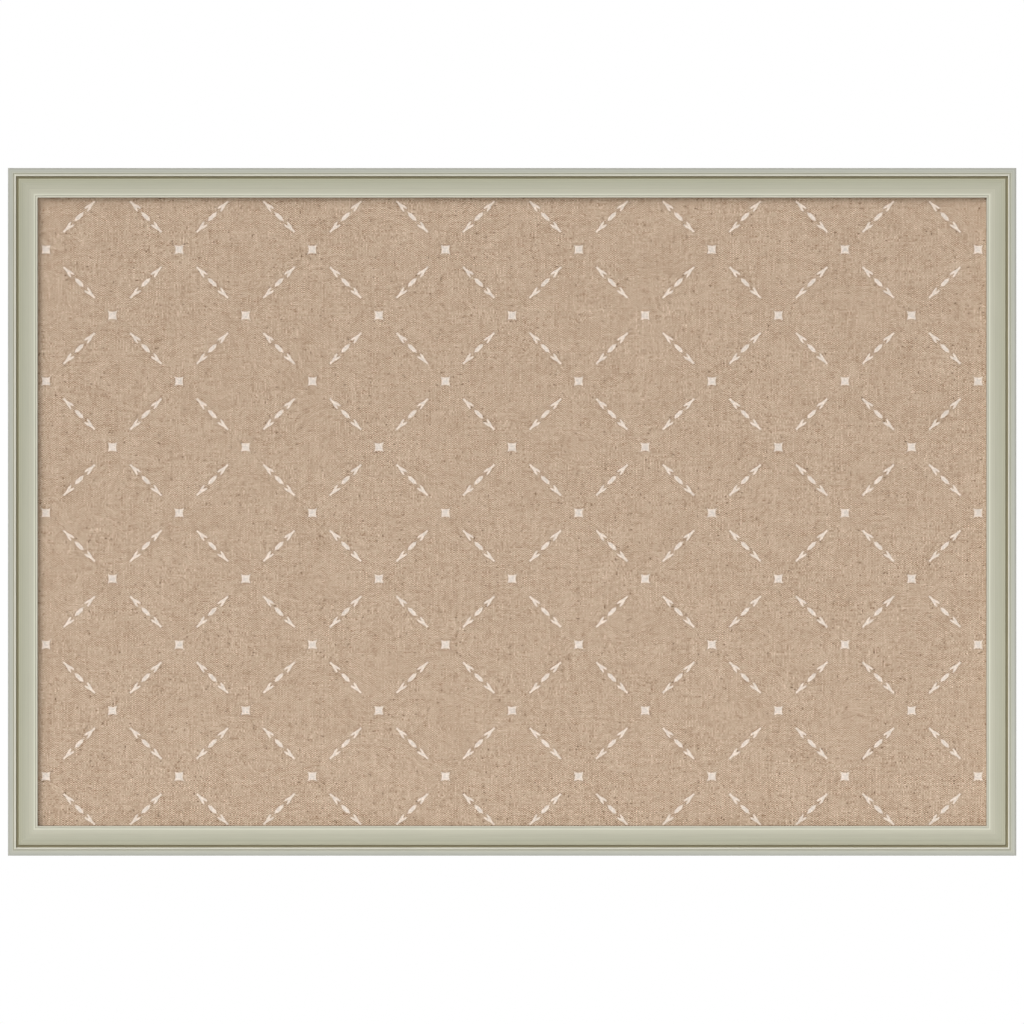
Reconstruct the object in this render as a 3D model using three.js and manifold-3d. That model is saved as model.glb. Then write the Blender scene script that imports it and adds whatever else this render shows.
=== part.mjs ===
// A framed memo board. A mitred, painted moulding holds a linen-covered pin panel in its rabbet, turn
// buttons on the back keep the panel in, and two D-ring hangers carry the board on the wall.
// Millimetres, +Z up. The front faces -Y, and the origin is on the wall, behind the centre of the board.
import * as THREE from "three";
import { mergeVertices } from "three/addons/utils/BufferGeometryUtils.js";
import Module from "manifold-3d";

// Clear cloth between the sight edges
const OPENING_WIDTH = 901.7;
const OPENING_HEIGHT = 596.9;

// Moulding face, from the outer edge to the sight edge
const FACE_WIDTH = 28.2;
const BAND_WIDTH = 5.0;
const BAND_QUIRK = 1.0;
const BEAD_WIDTH = 1.8;
const GROOVE_WIDTH = 2.5;
const FILLET_WIDTH = 1.0;
const SIGHT_QUIRK = 0.9;
const SIGHT_BEAD = 1.3;

// Moulding heights and edges
const SIGHT_LIP = 5.9; // wood between the rabbet ledge and the sight edge
const OUTER_RISE = 3.6; // height of the outer band above the sight edge
const GROOVE_DEPTH = 1.9; // below the edge of the scoop
const QUIRK_DEPTH = 0.5;
const SCOOP_STEEP = THREE.MathUtils.degToRad(14); // slope of the scoop beside the groove
const SCOOP_FLAT = THREE.MathUtils.degToRad(2); // slope of the scoop beside the fillet
const BEAD_TURN = THREE.MathUtils.degToRad(150); // how far round each bead goes before its quirk
const EDGE_ROUND = 0.8;
const BACK_CHAMFER = 0.5;
const GLUE_LINE = 0.1; // between two mitred ends

// Panel in the rabbet, front to back
const RABBET_COVER = 6.35; // how far the sight lip laps over the panel
const PANEL_PLAY = 0.8; // room around the panel
const LINEN_THICKNESS = 0.6;
const LINEN_TURN_IN = 25; // hem turned over the back of the core
const WADDING_THICKNESS = 1.5;
const CORE_THICKNESS = 8;
const CORE_EDGE_ROUND = 1.2;
const BACK_THICKNESS = 3;
const BACK_EDGE_ROUND = 0.4;
const SEAT_GAP = 0.3; // panel face to rabbet ledge
const PLY_GAP = 0.1; // between stacked layers
const BACK_SET = 0.3; // back panel below the back of the rails

// V-nails across the mitres
const NAILS_PER_CORNER = 2;
const NAIL_LEG = 5;
const NAIL_THICKNESS = 0.6;
const NAIL_DEPTH = 10;
const NAIL_HALF_ANGLE = THREE.MathUtils.degToRad(55);
const NAIL_FIT = 0.15;

// Wood screws
const SHANK_RADIUS = 1.6;
const SCREW_POINT = 3;
const HEAD_RADIUS = 3.4;
const HEAD_HEIGHT = 2;
const HEAD_RIM = 0.7; // straight wall of the head below its dome
const SCREW_GRIP = 11; // length in the wood
const RECESS_SPAN = 3.8;
const RECESS_WIDTH = 0.9;
const RECESS_DEPTH = 1.1;
const SCREW_FIT = 0.2;

// Turn buttons
const BUTTON_SPACING = 500; // between the two on a long rail
const BUTTON_SETBACK = 8; // pivot to the rabbet wall
const BUTTON_HUB = 6;
const BUTTON_TIP = 4;
const BUTTON_REACH = 18; // pivot to the centre of the rounded tip
const BUTTON_THICKNESS = 1.2;
const BUTTON_LIFT_START = 16; // where the thumb tab bends up
const BUTTON_LIFT_ANGLE = THREE.MathUtils.degToRad(25);
const RUNNING_GAP = 0.15;

// D-ring hangers
const HANGER_DROP = 165; // top edge of the frame to the ring's pivot
const STRAP_WIDTH = 11;
const STRAP_THICKNESS = 0.8;
const STRAP_SLIT = 0.1; // between the two folded layers
const STRAP_SCREW_DROP = 19.5; // pivot to the screw
const STRAP_END = 6; // screw to the end of the strap
const EYE_FIT = 0.25;
const RING_WIRE = 1.25; // radius
const RING_HALF_WIDTH = 8.25;
const RING_ARM = 5.25; // pivot to where the bow begins
const RING_CORNER = 2.2;
const RING_BUTT = 0.4; // gap where the bent wire's ends meet inside the eye
const RING_LEAN = THREE.MathUtils.degToRad(3); // towards the rail, as it hangs on its hook

// Wall bumpers
const BUMPER_RADIUS = 6;
const BUMPER_FACE = 3.6;
const BUMPER_HEIGHT = 5;
const BUMPER_INSET = 45; // from the outer edge of the frame, along the bottom rail

// Sides of round pieces
const ARC_STEPS = 5;
const SCREW_SIDES = 14;
const BUMPER_SIDES = 24;
const WIRE_STEPS = 46;

// Sizes that follow from those above
const outerWidth = OPENING_WIDTH + 2 * FACE_WIDTH;
const outerHeight = OPENING_HEIGHT + 2 * FACE_WIDTH;
const panelWidth = OPENING_WIDTH + 2 * RABBET_COVER;
const panelHeight = OPENING_HEIGHT + 2 * RABBET_COVER;
const backLand = FACE_WIDTH - RABBET_COVER - PANEL_PLAY;
const coreWidth = panelWidth - 2 * (LINEN_THICKNESS + PLY_GAP);
const coreHeight = panelHeight - 2 * (LINEN_THICKNESS + PLY_GAP);
const fillingDepth = WADDING_THICKNESS + CORE_THICKNESS + 3 * PLY_GAP;
const coverDepth = fillingDepth + 2 * LINEN_THICKNESS;
const rabbetDepth = SEAT_GAP + coverDepth + PLY_GAP + BACK_THICKNESS + BACK_SET;
const sightTop = rabbetDepth + SIGHT_LIP;
const bandTop = sightTop + OUTER_RISE;
const railBack = -BUMPER_HEIGHT;
const coverFront = railBack - rabbetDepth + SEAT_GAP;
const buttonInset = backLand - BUTTON_SETBACK;
const landMiddle = backLand / 2;
const eyeRadius = RING_WIRE + EYE_FIT;
const eyeOuter = eyeRadius + STRAP_THICKNESS;
const strapDepth = 2 * STRAP_THICKNESS + STRAP_SLIT;
const hangerHeight = outerHeight / 2 - HANGER_DROP;
const hangerAside = outerWidth / 2 - landMiddle;

const paint = new THREE.MeshStandardMaterial({ color: 0xb9b8a4, roughness: 0.5 });
const linen = new THREE.MeshStandardMaterial({ color: 0xbfa78f, roughness: 0.95 });
const wool = new THREE.MeshStandardMaterial({ color: 0xeceae2, roughness: 1 });
const softboard = new THREE.MeshStandardMaterial({ color: 0xa98b63, roughness: 0.95 });
const hardboard = new THREE.MeshStandardMaterial({ color: 0x7a5636, roughness: 0.8 });
const steel = new THREE.MeshStandardMaterial({ color: 0x9a9a98, roughness: 0.45, metalness: 1 });
const zinc = new THREE.MeshStandardMaterial({ color: 0xc4c5c4, roughness: 0.3, metalness: 1 });
const blackened = new THREE.MeshStandardMaterial({ color: 0x2b2a29, roughness: 0.5, metalness: 0.6 });
const rubber = new THREE.MeshStandardMaterial({ color: 0x3a3937, roughness: 0.9 });

const wasm = await Module();
wasm.setup();

// A closed geometry as a solid that can be joined and cut.
function solidOf(geometry) {
  const bare = geometry.clone();
  bare.deleteAttribute("normal");
  bare.deleteAttribute("uv");
  const merged = mergeVertices(bare);
  return new wasm.Manifold(
    new wasm.Mesh({
      numProp: 3,
      vertProperties: merged.attributes.position.array,
      triVerts: new Uint32Array(merged.index.array),
    }),
  );
}

// A solid's surface as a geometry.
function geometryOf(solid) {
  const surface = solid.getMesh();
  const geometry = new THREE.BufferGeometry();
  geometry.setAttribute("position", new THREE.BufferAttribute(surface.vertProperties, 3));
  geometry.setIndex(new THREE.BufferAttribute(surface.triVerts, 1));
  geometry.computeVertexNormals();
  return geometry;
}

// A body with each tool cut out of it.
function cut(body, tools) {
  return geometryOf(tools.reduce((left, tool) => left.subtract(solidOf(tool)), solidOf(body)));
}

// A geometry turned so that its own x, y and z run along the three given directions.
function along(geometry, x, y, z) {
  return geometry.applyMatrix4(new THREE.Matrix4().makeBasis(x, y, z));
}

const RIGHT = new THREE.Vector3(1, 0, 0);
const BACK = new THREE.Vector3(0, 1, 0);
const FRONT = new THREE.Vector3(0, -1, 0);
const UP = new THREE.Vector3(0, 0, 1);
const DOWN = new THREE.Vector3(0, 0, -1);

// An outline drawn in x and z, made solid from the height top down to top - depth along y.
function fromBehind(outline, top, depth) {
  const prism = new THREE.ExtrudeGeometry(outline, {
    depth,
    bevelEnabled: false,
    curveSegments: ARC_STEPS,
  });
  return along(prism, RIGHT, UP, FRONT).translate(0, top, 0);
}

// A round pin along y, from the height top down to top - depth.
function pin(radius, top, depth) {
  return new THREE.CylinderGeometry(radius, radius, depth, SCREW_SIDES).translate(0, top - depth / 2, 0);
}

// A flat board with eased edges, its front face at y = 0 and its thickness towards the back.
function board(width, height, thickness, round) {
  const outline = new THREE.Shape();
  const right = width / 2 - round;
  const top = height / 2 - round;
  outline.moveTo(-right, -top).lineTo(right, -top).lineTo(right, top).lineTo(-right, top);
  const slab = new THREE.ExtrudeGeometry(outline, {
    depth: thickness - 2 * round,
    bevelThickness: round,
    bevelSize: round,
    bevelSegments: 3,
  });
  return along(slab, RIGHT, UP, FRONT).translate(0, thickness - round, 0);
}

function add(parent, name, geometry, material, x = 0, y = 0, z = 0) {
  const mesh = new THREE.Mesh(geometry, material);
  mesh.name = name;
  mesh.position.set(x, y, z);
  parent.add(mesh);
  return mesh;
}

// The moulding's section: x runs from the outer edge to the sight edge, y from the back to the front.
function mouldingProfile() {
  const beadRadius = BEAD_WIDTH / 2;
  const sightRadius = SIGHT_BEAD / 2;
  const grooveRadius = GROOVE_WIDTH / 2;
  const beadStart = BAND_WIDTH + BAND_QUIRK;
  const grooveStart = beadStart + BEAD_WIDTH;
  const scoopStart = grooveStart + GROOVE_WIDTH;
  const beadEnd = FACE_WIDTH - SIGHT_BEAD;
  const filletEnd = beadEnd - SIGHT_QUIRK;
  const scoopEnd = filletEnd - FILLET_WIDTH;
  const scoopRadius = (scoopEnd - scoopStart) / (Math.sin(SCOOP_STEEP) - Math.sin(SCOOP_FLAT));
  const scoopX = scoopEnd + scoopRadius * Math.sin(SCOOP_FLAT);
  const scoopY = sightTop + scoopRadius * Math.cos(SCOOP_FLAT);
  const grooveX = grooveStart + grooveRadius;
  const grooveY = scoopY - scoopRadius * Math.cos(SCOOP_STEEP) - GROOVE_DEPTH + grooveRadius;
  const below = 1.5 * Math.PI;

  const section = new THREE.Shape();
  section.moveTo(BACK_CHAMFER, 0);
  section.lineTo(backLand, 0);
  section.lineTo(backLand, rabbetDepth);
  section.lineTo(FACE_WIDTH, rabbetDepth);
  section.absarc(FACE_WIDTH - sightRadius, sightTop - sightRadius, sightRadius, 0, BEAD_TURN, false);
  section.lineTo(filletEnd + SIGHT_QUIRK / 2, sightTop - QUIRK_DEPTH);
  section.lineTo(filletEnd, sightTop);
  section.absarc(scoopX, scoopY, scoopRadius, below - SCOOP_FLAT, below - SCOOP_STEEP, true);
  section.absarc(grooveX, grooveY, grooveRadius, 0, Math.PI, true);
  section.absarc(beadStart + beadRadius, bandTop - beadRadius, beadRadius, 0, BEAD_TURN, false);
  section.lineTo(BAND_WIDTH + BAND_QUIRK / 2, bandTop - QUIRK_DEPTH);
  section.lineTo(BAND_WIDTH, bandTop);
  section.absarc(EDGE_ROUND, bandTop - EDGE_ROUND, EDGE_ROUND, Math.PI / 2, Math.PI, false);
  section.lineTo(0, BACK_CHAMFER);
  return section;
}

// A length of moulding along x with both ends mitred. z runs inwards from its outer edge.
function mitredLength(length) {
  const stick = new THREE.ExtrudeGeometry(mouldingProfile(), {
    depth: length,
    bevelEnabled: false,
    curveSegments: ARC_STEPS,
  });
  const place = stick.attributes.position;
  for (let i = 0; i < place.count; i++) {
    const reach = length / 2 - place.getX(i) - GLUE_LINE * Math.SQRT1_2;
    place.setZ(i, place.getZ(i) > length / 2 ? reach : -reach);
  }
  return along(stick, UP, FRONT, RIGHT).translate(0, railBack, 0);
}

// A V-nail seen from behind: two legs that open from its point, one into each mitred rail.
function nailOutline(grow) {
  const half = NAIL_THICKNESS / 2 + grow;
  const leg = NAIL_LEG + grow;
  const diagonal = new THREE.Vector2(1, 1).normalize();
  const apex = diagonal.clone().multiplyScalar(half / Math.sin(NAIL_HALF_ANGLE));
  const ends = [-1, 1].map((side) => {
    const way = diagonal.clone().rotateAround(new THREE.Vector2(), side * NAIL_HALF_ANGLE);
    const aside = new THREE.Vector2(-way.y, way.x).multiplyScalar(side * half);
    const end = way.multiplyScalar(leg);
    return { outside: end.clone().add(aside), inside: end.clone().sub(aside) };
  });
  return new THREE.Shape([
    apex.clone().negate(),
    ends[0].outside,
    ends[0].inside,
    apex,
    ends[1].inside,
    ends[1].outside,
  ]);
}

// How far each V-nail of a corner stands from both outer edges of the frame.
const nailInsets = Array.from(
  { length: NAILS_PER_CORNER },
  (_, i) => (backLand * (i + 1)) / (NAILS_PER_CORNER + 1),
);

// The slots for the V-nails at both ends of a rail.
function nailSlots(length) {
  return nailInsets.flatMap((inset) => {
    const slot = fromBehind(nailOutline(NAIL_FIT), railBack + NAIL_FIT, NAIL_DEPTH + 2 * NAIL_FIT);
    slot.translate(inset, 0, inset);
    const far = slot.clone().rotateY(-Math.PI / 2).translate(length / 2, 0, 0);
    return [slot.translate(-length / 2, 0, 0), far];
  });
}

// A pan-head wood screw along y, the underside of its head at y = 0 and grip of its shank in the wood.
function screw(stack) {
  const length = stack + SCREW_GRIP;
  const profile = new THREE.Path();
  profile.moveTo(0, -length);
  profile.lineTo(SHANK_RADIUS, -length + SCREW_POINT);
  profile.lineTo(SHANK_RADIUS, 0);
  profile.lineTo(HEAD_RADIUS, 0);
  profile.lineTo(HEAD_RADIUS, HEAD_RIM);
  profile.quadraticCurveTo(HEAD_RADIUS, HEAD_HEIGHT, 0, HEAD_HEIGHT);
  const body = new THREE.LatheGeometry(profile.getPoints(ARC_STEPS), SCREW_SIDES);
  const slot = new THREE.BoxGeometry(RECESS_SPAN, 2 * RECESS_DEPTH, RECESS_WIDTH);
  slot.translate(0, HEAD_HEIGHT, 0);
  return cut(body, [slot, slot.clone().rotateY(Math.PI / 2)]);
}

// A stamped turn button, its pivot at the origin, its arm along z and a thumb tab bent up at the tip.
function turnButton() {
  const bend = BUTTON_THICKNESS * Math.tan(BUTTON_LIFT_ANGLE / 2);
  const run = (BUTTON_REACH + BUTTON_TIP - BUTTON_LIFT_START) / Math.cos(BUTTON_LIFT_ANGLE);
  const ahead = new THREE.Vector2(Math.cos(BUTTON_LIFT_ANGLE), Math.sin(BUTTON_LIFT_ANGLE));
  const above = new THREE.Vector2(-ahead.y, ahead.x).multiplyScalar(BUTTON_THICKNESS);
  const end = new THREE.Vector2(BUTTON_LIFT_START, 0).addScaledVector(ahead, run + BUTTON_THICKNESS);
  const side = new THREE.Shape([
    new THREE.Vector2(-BUTTON_HUB, 0),
    new THREE.Vector2(BUTTON_LIFT_START, 0),
    end,
    end.clone().add(above),
    new THREE.Vector2(BUTTON_LIFT_START - bend, BUTTON_THICKNESS),
    new THREE.Vector2(-BUTTON_HUB, BUTTON_THICKNESS),
  ]);
  const strip = new THREE.ExtrudeGeometry(side, { depth: 2 * BUTTON_HUB, bevelEnabled: false });
  along(strip.translate(0, 0, -BUTTON_HUB), UP, BACK, new THREE.Vector3(-1, 0, 0));

  const taper = Math.asin((BUTTON_HUB - BUTTON_TIP) / BUTTON_REACH);
  const outline = new THREE.Shape();
  outline.absarc(0, BUTTON_REACH, BUTTON_TIP, taper, Math.PI - taper, false);
  outline.absarc(0, 0, BUTTON_HUB, Math.PI - taper, 2 * Math.PI + taper, false);
  const height = end.y + 2 * BUTTON_THICKNESS;
  const plan = fromBehind(outline, height, height + BUTTON_THICKNESS);
  const blank = geometryOf(solidOf(strip).intersect(solidOf(plan)));
  return cut(blank, [pin(SHANK_RADIUS + SCREW_FIT, 2 * BUTTON_THICKNESS, 3 * BUTTON_THICKNESS)]);
}

// A hanger strap: one strip folded round the ring's bar, both layers screwed down together. The rail is at
// y = 0, the bar runs along x through z = 0, and the strap hangs below it.
function hangerStrap() {
  const end = STRAP_SCREW_DROP + STRAP_END;
  const upper = STRAP_THICKNESS + STRAP_SLIT;
  const crimp = Math.asin((strapDepth - eyeOuter) / eyeOuter);
  const mouth = Math.asin((upper - eyeOuter) / eyeRadius);
  const fold = new THREE.Shape();
  fold.moveTo(end, 0);
  fold.absarc(0, eyeOuter, eyeOuter, -Math.PI / 2, crimp, true);
  fold.lineTo(end, strapDepth);
  fold.lineTo(end, upper);
  fold.absarc(0, eyeOuter, eyeRadius, mouth, 1.5 * Math.PI, false);
  fold.lineTo(end, STRAP_THICKNESS);
  const strip = new THREE.ExtrudeGeometry(fold, {
    depth: STRAP_WIDTH,
    bevelEnabled: false,
    curveSegments: 2 * ARC_STEPS,
  });
  along(strip.translate(0, 0, -STRAP_WIDTH / 2), DOWN, BACK, RIGHT);

  const half = STRAP_WIDTH / 2;
  const outline = new THREE.Shape();
  outline.moveTo(half, 2 * eyeOuter);
  outline.lineTo(-half, 2 * eyeOuter);
  outline.absarc(0, half - end, half, Math.PI, 2 * Math.PI, false);
  const plan = fromBehind(outline, 3 * eyeOuter, 4 * eyeOuter);
  const blank = geometryOf(solidOf(strip).intersect(solidOf(plan)));
  const hole = pin(SHANK_RADIUS + SCREW_FIT, 2 * strapDepth, 3 * strapDepth);
  return cut(blank, [hole.translate(0, 0, -STRAP_SCREW_DROP)]);
}

// The middle line of a D-ring in the x-z plane: its bar lies on the pivot, and its bow stands above.
class RingLine extends THREE.Curve {
  constructor() {
    super();
    const straight = RING_HALF_WIDTH - RING_CORNER;
    this.line = new THREE.Path();
    this.line.moveTo(-RING_BUTT / 2, 0);
    this.line.absarc(-straight, RING_CORNER, RING_CORNER, -Math.PI / 2, -Math.PI, true);
    this.line.absarc(0, RING_ARM, RING_HALF_WIDTH, Math.PI, 0, true);
    this.line.absarc(straight, RING_CORNER, RING_CORNER, 0, -Math.PI / 2, true);
    this.line.lineTo(RING_BUTT / 2, 0);
  }

  getPoint(share, target = new THREE.Vector3()) {
    const point = this.line.getPoint(share);
    return target.set(point.x, 0, point.y);
  }
}

// A D-ring of round wire, its two ends butted in the middle of the bar.
function hangerRing() {
  const wire = new THREE.Shape().absarc(0, 0, RING_WIRE, 0, 2 * Math.PI, false);
  return new THREE.ExtrudeGeometry(wire, {
    steps: WIRE_STEPS,
    extrudePath: new RingLine(),
    curveSegments: ARC_STEPS,
  });
}

// A rubber bumper along y, stuck on at y = 0 and domed to a small flat face.
function wallBumper() {
  const profile = new THREE.Path();
  profile.moveTo(0, PLY_GAP);
  profile.lineTo(BUMPER_RADIUS, PLY_GAP);
  profile.lineTo(BUMPER_RADIUS, BUMPER_HEIGHT / 2);
  profile.quadraticCurveTo(BUMPER_RADIUS, BUMPER_HEIGHT, BUMPER_FACE, BUMPER_HEIGHT);
  profile.lineTo(0, BUMPER_HEIGHT);
  return new THREE.LatheGeometry(profile.getPoints(ARC_STEPS), BUMPER_SIDES);
}

const memoBoard = new THREE.Group();

// Rails, V-nails, turn buttons and their screws, side by side round the frame. In each side's own group x
// runs along the rail and z inwards from the outer edge, and the corner is the one at the rail's x = 0 end.
const sides = [
  { name: "bottom", corner: "bottom_left", length: outerWidth, reach: outerHeight / 2 },
  { name: "left", corner: "top_left", length: outerHeight, reach: outerWidth / 2 },
  { name: "top", corner: "top_right", length: outerWidth, reach: outerHeight / 2 },
  { name: "right", corner: "bottom_right", length: outerHeight, reach: outerWidth / 2 },
];
const buttonStack = BUTTON_THICKNESS + 2 * RUNNING_GAP;
const nailNames = ["outer", "inner"];

sides.forEach((side, quarter) => {
  const turn = (quarter * Math.PI) / 2;
  const group = new THREE.Group();
  group.rotation.y = turn;
  group.position.set(-side.reach * Math.sin(turn), 0, -side.reach * Math.cos(turn));
  memoBoard.add(group);

  const isLong = side.name === "bottom" || side.name === "top";
  const towardsRight = side.name === "bottom" ? 1 : -1;
  const buttons = isLong
    ? [
        { name: `${side.name}_left`, x: (-towardsRight * BUTTON_SPACING) / 2 },
        { name: `${side.name}_right`, x: (towardsRight * BUTTON_SPACING) / 2 },
      ]
    : [{ name: side.name, x: 0 }];

  const pilots = buttons.map(({ x }) => ({ x, z: buttonInset }));
  if (!isLong) {
    const upwards = side.name === "right" ? 1 : -1;
    pilots.push({ x: upwards * (hangerHeight - STRAP_SCREW_DROP), z: landMiddle });
  }
  const holes = pilots.map(({ x, z }) => {
    const depth = SCREW_GRIP + buttonStack + SCREW_FIT;
    return pin(SHANK_RADIUS + SCREW_FIT, railBack + buttonStack, depth + buttonStack).translate(x, 0, z);
  });
  const rail = cut(mitredLength(side.length), [...nailSlots(side.length), ...holes]);
  add(group, `frame_rail_${side.name}`, rail, paint);

  nailInsets.forEach((inset, i) => {
    const nail = fromBehind(nailOutline(0), railBack, NAIL_DEPTH);
    const name = `v_nail_${side.corner}_${nailNames[i] ?? i}`;
    add(group, name, nail, steel, inset - side.length / 2, 0, inset);
  });

  buttons.forEach(({ name, x }) => {
    add(group, `turn_button_${name}`, turnButton(), blackened, x, railBack + RUNNING_GAP, buttonInset);
    add(group, `turn_screw_${name}`, screw(buttonStack), zinc, x, railBack + buttonStack, buttonInset);
  });
});

// The panel: linen drawn over wadding and a pin core, with a separate back.
function linenCover() {
  const round = CORE_EDGE_ROUND + LINEN_THICKNESS;
  const skin = board(panelWidth, panelHeight, coverDepth, round);
  const insideWidth = panelWidth - 2 * LINEN_THICKNESS;
  const insideHeight = panelHeight - 2 * LINEN_THICKNESS;
  const inside = board(insideWidth, insideHeight, fillingDepth, CORE_EDGE_ROUND);
  const hemWidth = panelWidth - 2 * LINEN_TURN_IN;
  const hemHeight = panelHeight - 2 * LINEN_TURN_IN;
  const window = new THREE.BoxGeometry(hemWidth, coverDepth, hemHeight);
  return cut(skin, [inside.translate(0, LINEN_THICKNESS, 0), window.translate(0, coverDepth, 0)]);
}

const waddingFront = coverFront + LINEN_THICKNESS + PLY_GAP;
const coreFront = waddingFront + WADDING_THICKNESS + PLY_GAP;
const backFront = coverFront + coverDepth + PLY_GAP;
const waddingWidth = coreWidth - 2 * CORE_EDGE_ROUND;
const waddingHeight = coreHeight - 2 * CORE_EDGE_ROUND;
const wadding = board(waddingWidth, waddingHeight, WADDING_THICKNESS, BACK_EDGE_ROUND);
const core = board(coreWidth, coreHeight, CORE_THICKNESS, CORE_EDGE_ROUND);
const backing = board(panelWidth, panelHeight, BACK_THICKNESS, BACK_EDGE_ROUND);
add(memoBoard, "linen_cover", linenCover(), linen, 0, coverFront, 0);
add(memoBoard, "wadding_layer", wadding, wool, 0, waddingFront, 0);
add(memoBoard, "pin_core", core, softboard, 0, coreFront, 0);
add(memoBoard, "back_panel", backing, hardboard, 0, backFront, 0);

// Hangers on the side rails and bumpers on the bottom rail. Left and right are as seen from the front.
[
  { name: "left", side: -1 },
  { name: "right", side: 1 },
].forEach(({ name, side }) => {
  const hanger = new THREE.Group();
  hanger.position.set(side * hangerAside, railBack + PLY_GAP, hangerHeight);
  memoBoard.add(hanger);
  add(hanger, `hanger_strap_${name}`, hangerStrap(), zinc);
  add(hanger, `hanger_ring_${name}`, hangerRing(), zinc, 0, eyeOuter, 0).rotation.x = RING_LEAN;
  add(hanger, `hanger_screw_${name}`, screw(strapDepth), zinc, 0, strapDepth + PLY_GAP, -STRAP_SCREW_DROP);

  const aside = side * (outerWidth / 2 - BUMPER_INSET);
  const low = landMiddle - outerHeight / 2;
  add(memoBoard, `wall_bumper_${name}`, wallBumper(), rubber, aside, railBack, low);
});

export default memoBoard;
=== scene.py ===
"""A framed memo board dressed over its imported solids: painted moulding, printed linen, fittings behind.

Everything is in metres in the frame of the solids: +Z is up, the board faces -Y, and the wall is at y = 0.
"""

import bmesh
import bpy
import numpy as np
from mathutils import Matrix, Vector


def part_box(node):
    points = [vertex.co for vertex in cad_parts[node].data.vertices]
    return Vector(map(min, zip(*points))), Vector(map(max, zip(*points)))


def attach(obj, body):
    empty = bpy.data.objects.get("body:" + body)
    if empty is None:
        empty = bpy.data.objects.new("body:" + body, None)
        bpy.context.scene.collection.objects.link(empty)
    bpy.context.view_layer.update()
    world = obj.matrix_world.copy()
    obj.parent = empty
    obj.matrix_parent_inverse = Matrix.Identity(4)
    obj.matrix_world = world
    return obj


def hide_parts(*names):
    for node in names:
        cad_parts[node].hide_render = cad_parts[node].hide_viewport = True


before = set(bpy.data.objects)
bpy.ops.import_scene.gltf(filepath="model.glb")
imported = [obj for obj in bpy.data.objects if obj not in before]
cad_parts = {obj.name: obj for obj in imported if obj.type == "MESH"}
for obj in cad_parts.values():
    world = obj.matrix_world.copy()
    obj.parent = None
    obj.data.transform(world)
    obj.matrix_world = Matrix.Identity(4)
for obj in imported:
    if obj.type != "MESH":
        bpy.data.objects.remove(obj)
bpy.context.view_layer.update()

MM = 0.001
FRONT = np.array([0.0, -1.0, 0.0])
MERGE_DISTANCE = 1e-7
SLIVER_LENGTH = 1e-8

# Places taken from the solids
bottom_low, bottom_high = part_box("frame_rail_bottom")
linen_low, linen_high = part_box("linen_cover")
wadding_low, wadding_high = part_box("wadding_layer")
HALF_WIDTH = bottom_high.x
HALF_HEIGHT = -bottom_low.z
RAIL_BACK = bottom_high.y
RAIL_FRONT = bottom_low.y
FACE_WIDTH = bottom_high.z - bottom_low.z

# Moulding face, from the outer edge to the sight edge
BAND_WIDTH = 5.0 * MM
BAND_QUIRK = 1.0 * MM
BEAD_WIDTH = 1.8 * MM
GROOVE_WIDTH = 2.5 * MM
FILLET_WIDTH = 1.0 * MM
SIGHT_QUIRK = 0.9 * MM
SIGHT_BEAD = 1.3 * MM

# Moulding heights above the back of the rails, and edges
RABBET_DEPTH = 14.7 * MM
SIGHT_TOP = 20.6 * MM
BAND_TOP = RAIL_BACK - RAIL_FRONT
BACK_LAND = 21.05 * MM
GROOVE_DEPTH = 1.9 * MM
QUIRK_DEPTH = 0.5 * MM
SCOOP_STEEP = 14.0
SCOOP_FLAT = 2.0
BEAD_TURN = 150.0
EDGE_ROUND = 0.8 * MM
BACK_CHAMFER = 0.5 * MM
MITRE_GAP = 0.02 * MM
PAINT_STEP = 0.15 * MM
PAINT_SOFTENING = 0.13 * MM
RAIL_STATIONS = 13
RAIL_APART = 3.0

# Paint tones across the face: millimetres from the outer edge, and the tone there
PAINT_TONES = (
    # band, brushed in faint lines
    (0.0, (168, 170, 164)),
    (0.9, (178, 178, 168)),
    (1.6, (172, 172, 161)),
    (2.4, (183, 184, 173)),
    (3.4, (173, 173, 160)),
    (4.4, (179, 179, 166)),
    # quirk, and the bead worn pale, its pale line partly a painted highlight
    (5.4, (166, 165, 145)),
    (6.0, (182, 180, 164)),
    (6.5, (211, 209, 195)),
    (7.4, (226, 224, 211)),
    # groove, with the olive glaze left in it
    (7.8, (176, 172, 147)),
    (8.2, (138, 130, 101)),
    (9.0, (138, 130, 101)),
    (9.8, (149, 144, 115)),
    (10.4, (185, 183, 160)),
    # scoop, darker towards the groove: partly glaze and partly painted shade
    (11.5, (169, 167, 145)),
    (14.5, (175, 174, 154)),
    (20.9, (183, 181, 162)),
    (24.0, (194, 192, 173)),
    # fillet, sight quirk, the sight bead worn pale, and a dark rim at its edge: painted shade where the
    # sight edge meets the cloth
    (25.4, (206, 205, 188)),
    (26.4, (182, 181, 163)),
    (27.2, (208, 206, 191)),
    (27.7, (206, 203, 187)),
    (28.2, (116, 111, 95)),
)
SIDE_TONE = (176, 176, 160)

# Streaks, as wide and long as given, and how much each changes the paint's tone
BRUSH_MARK = (0.8 * MM, 30 * MM)
DRAWN_LINE = (0.6 * MM, 60.0)
WOOD_GRAIN = (0.7 * MM, 40 * MM)
BRUSH_CONTRAST = 0.22
CLOUD_CONTRAST = 0.06
# Painted light and shade: how much lighter the left and top rails are painted, and the other two darker, to
# even out the lamp's shade on them; the quirk takes several times as much
PAINTED_LIGHT_CONTRAST = 0.05
QUIRK_PAINTED_LIGHT = 2.8
PAINT_CREEP = 3 * MM
BRUSH_RELIEF = 0.05 * MM

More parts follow.
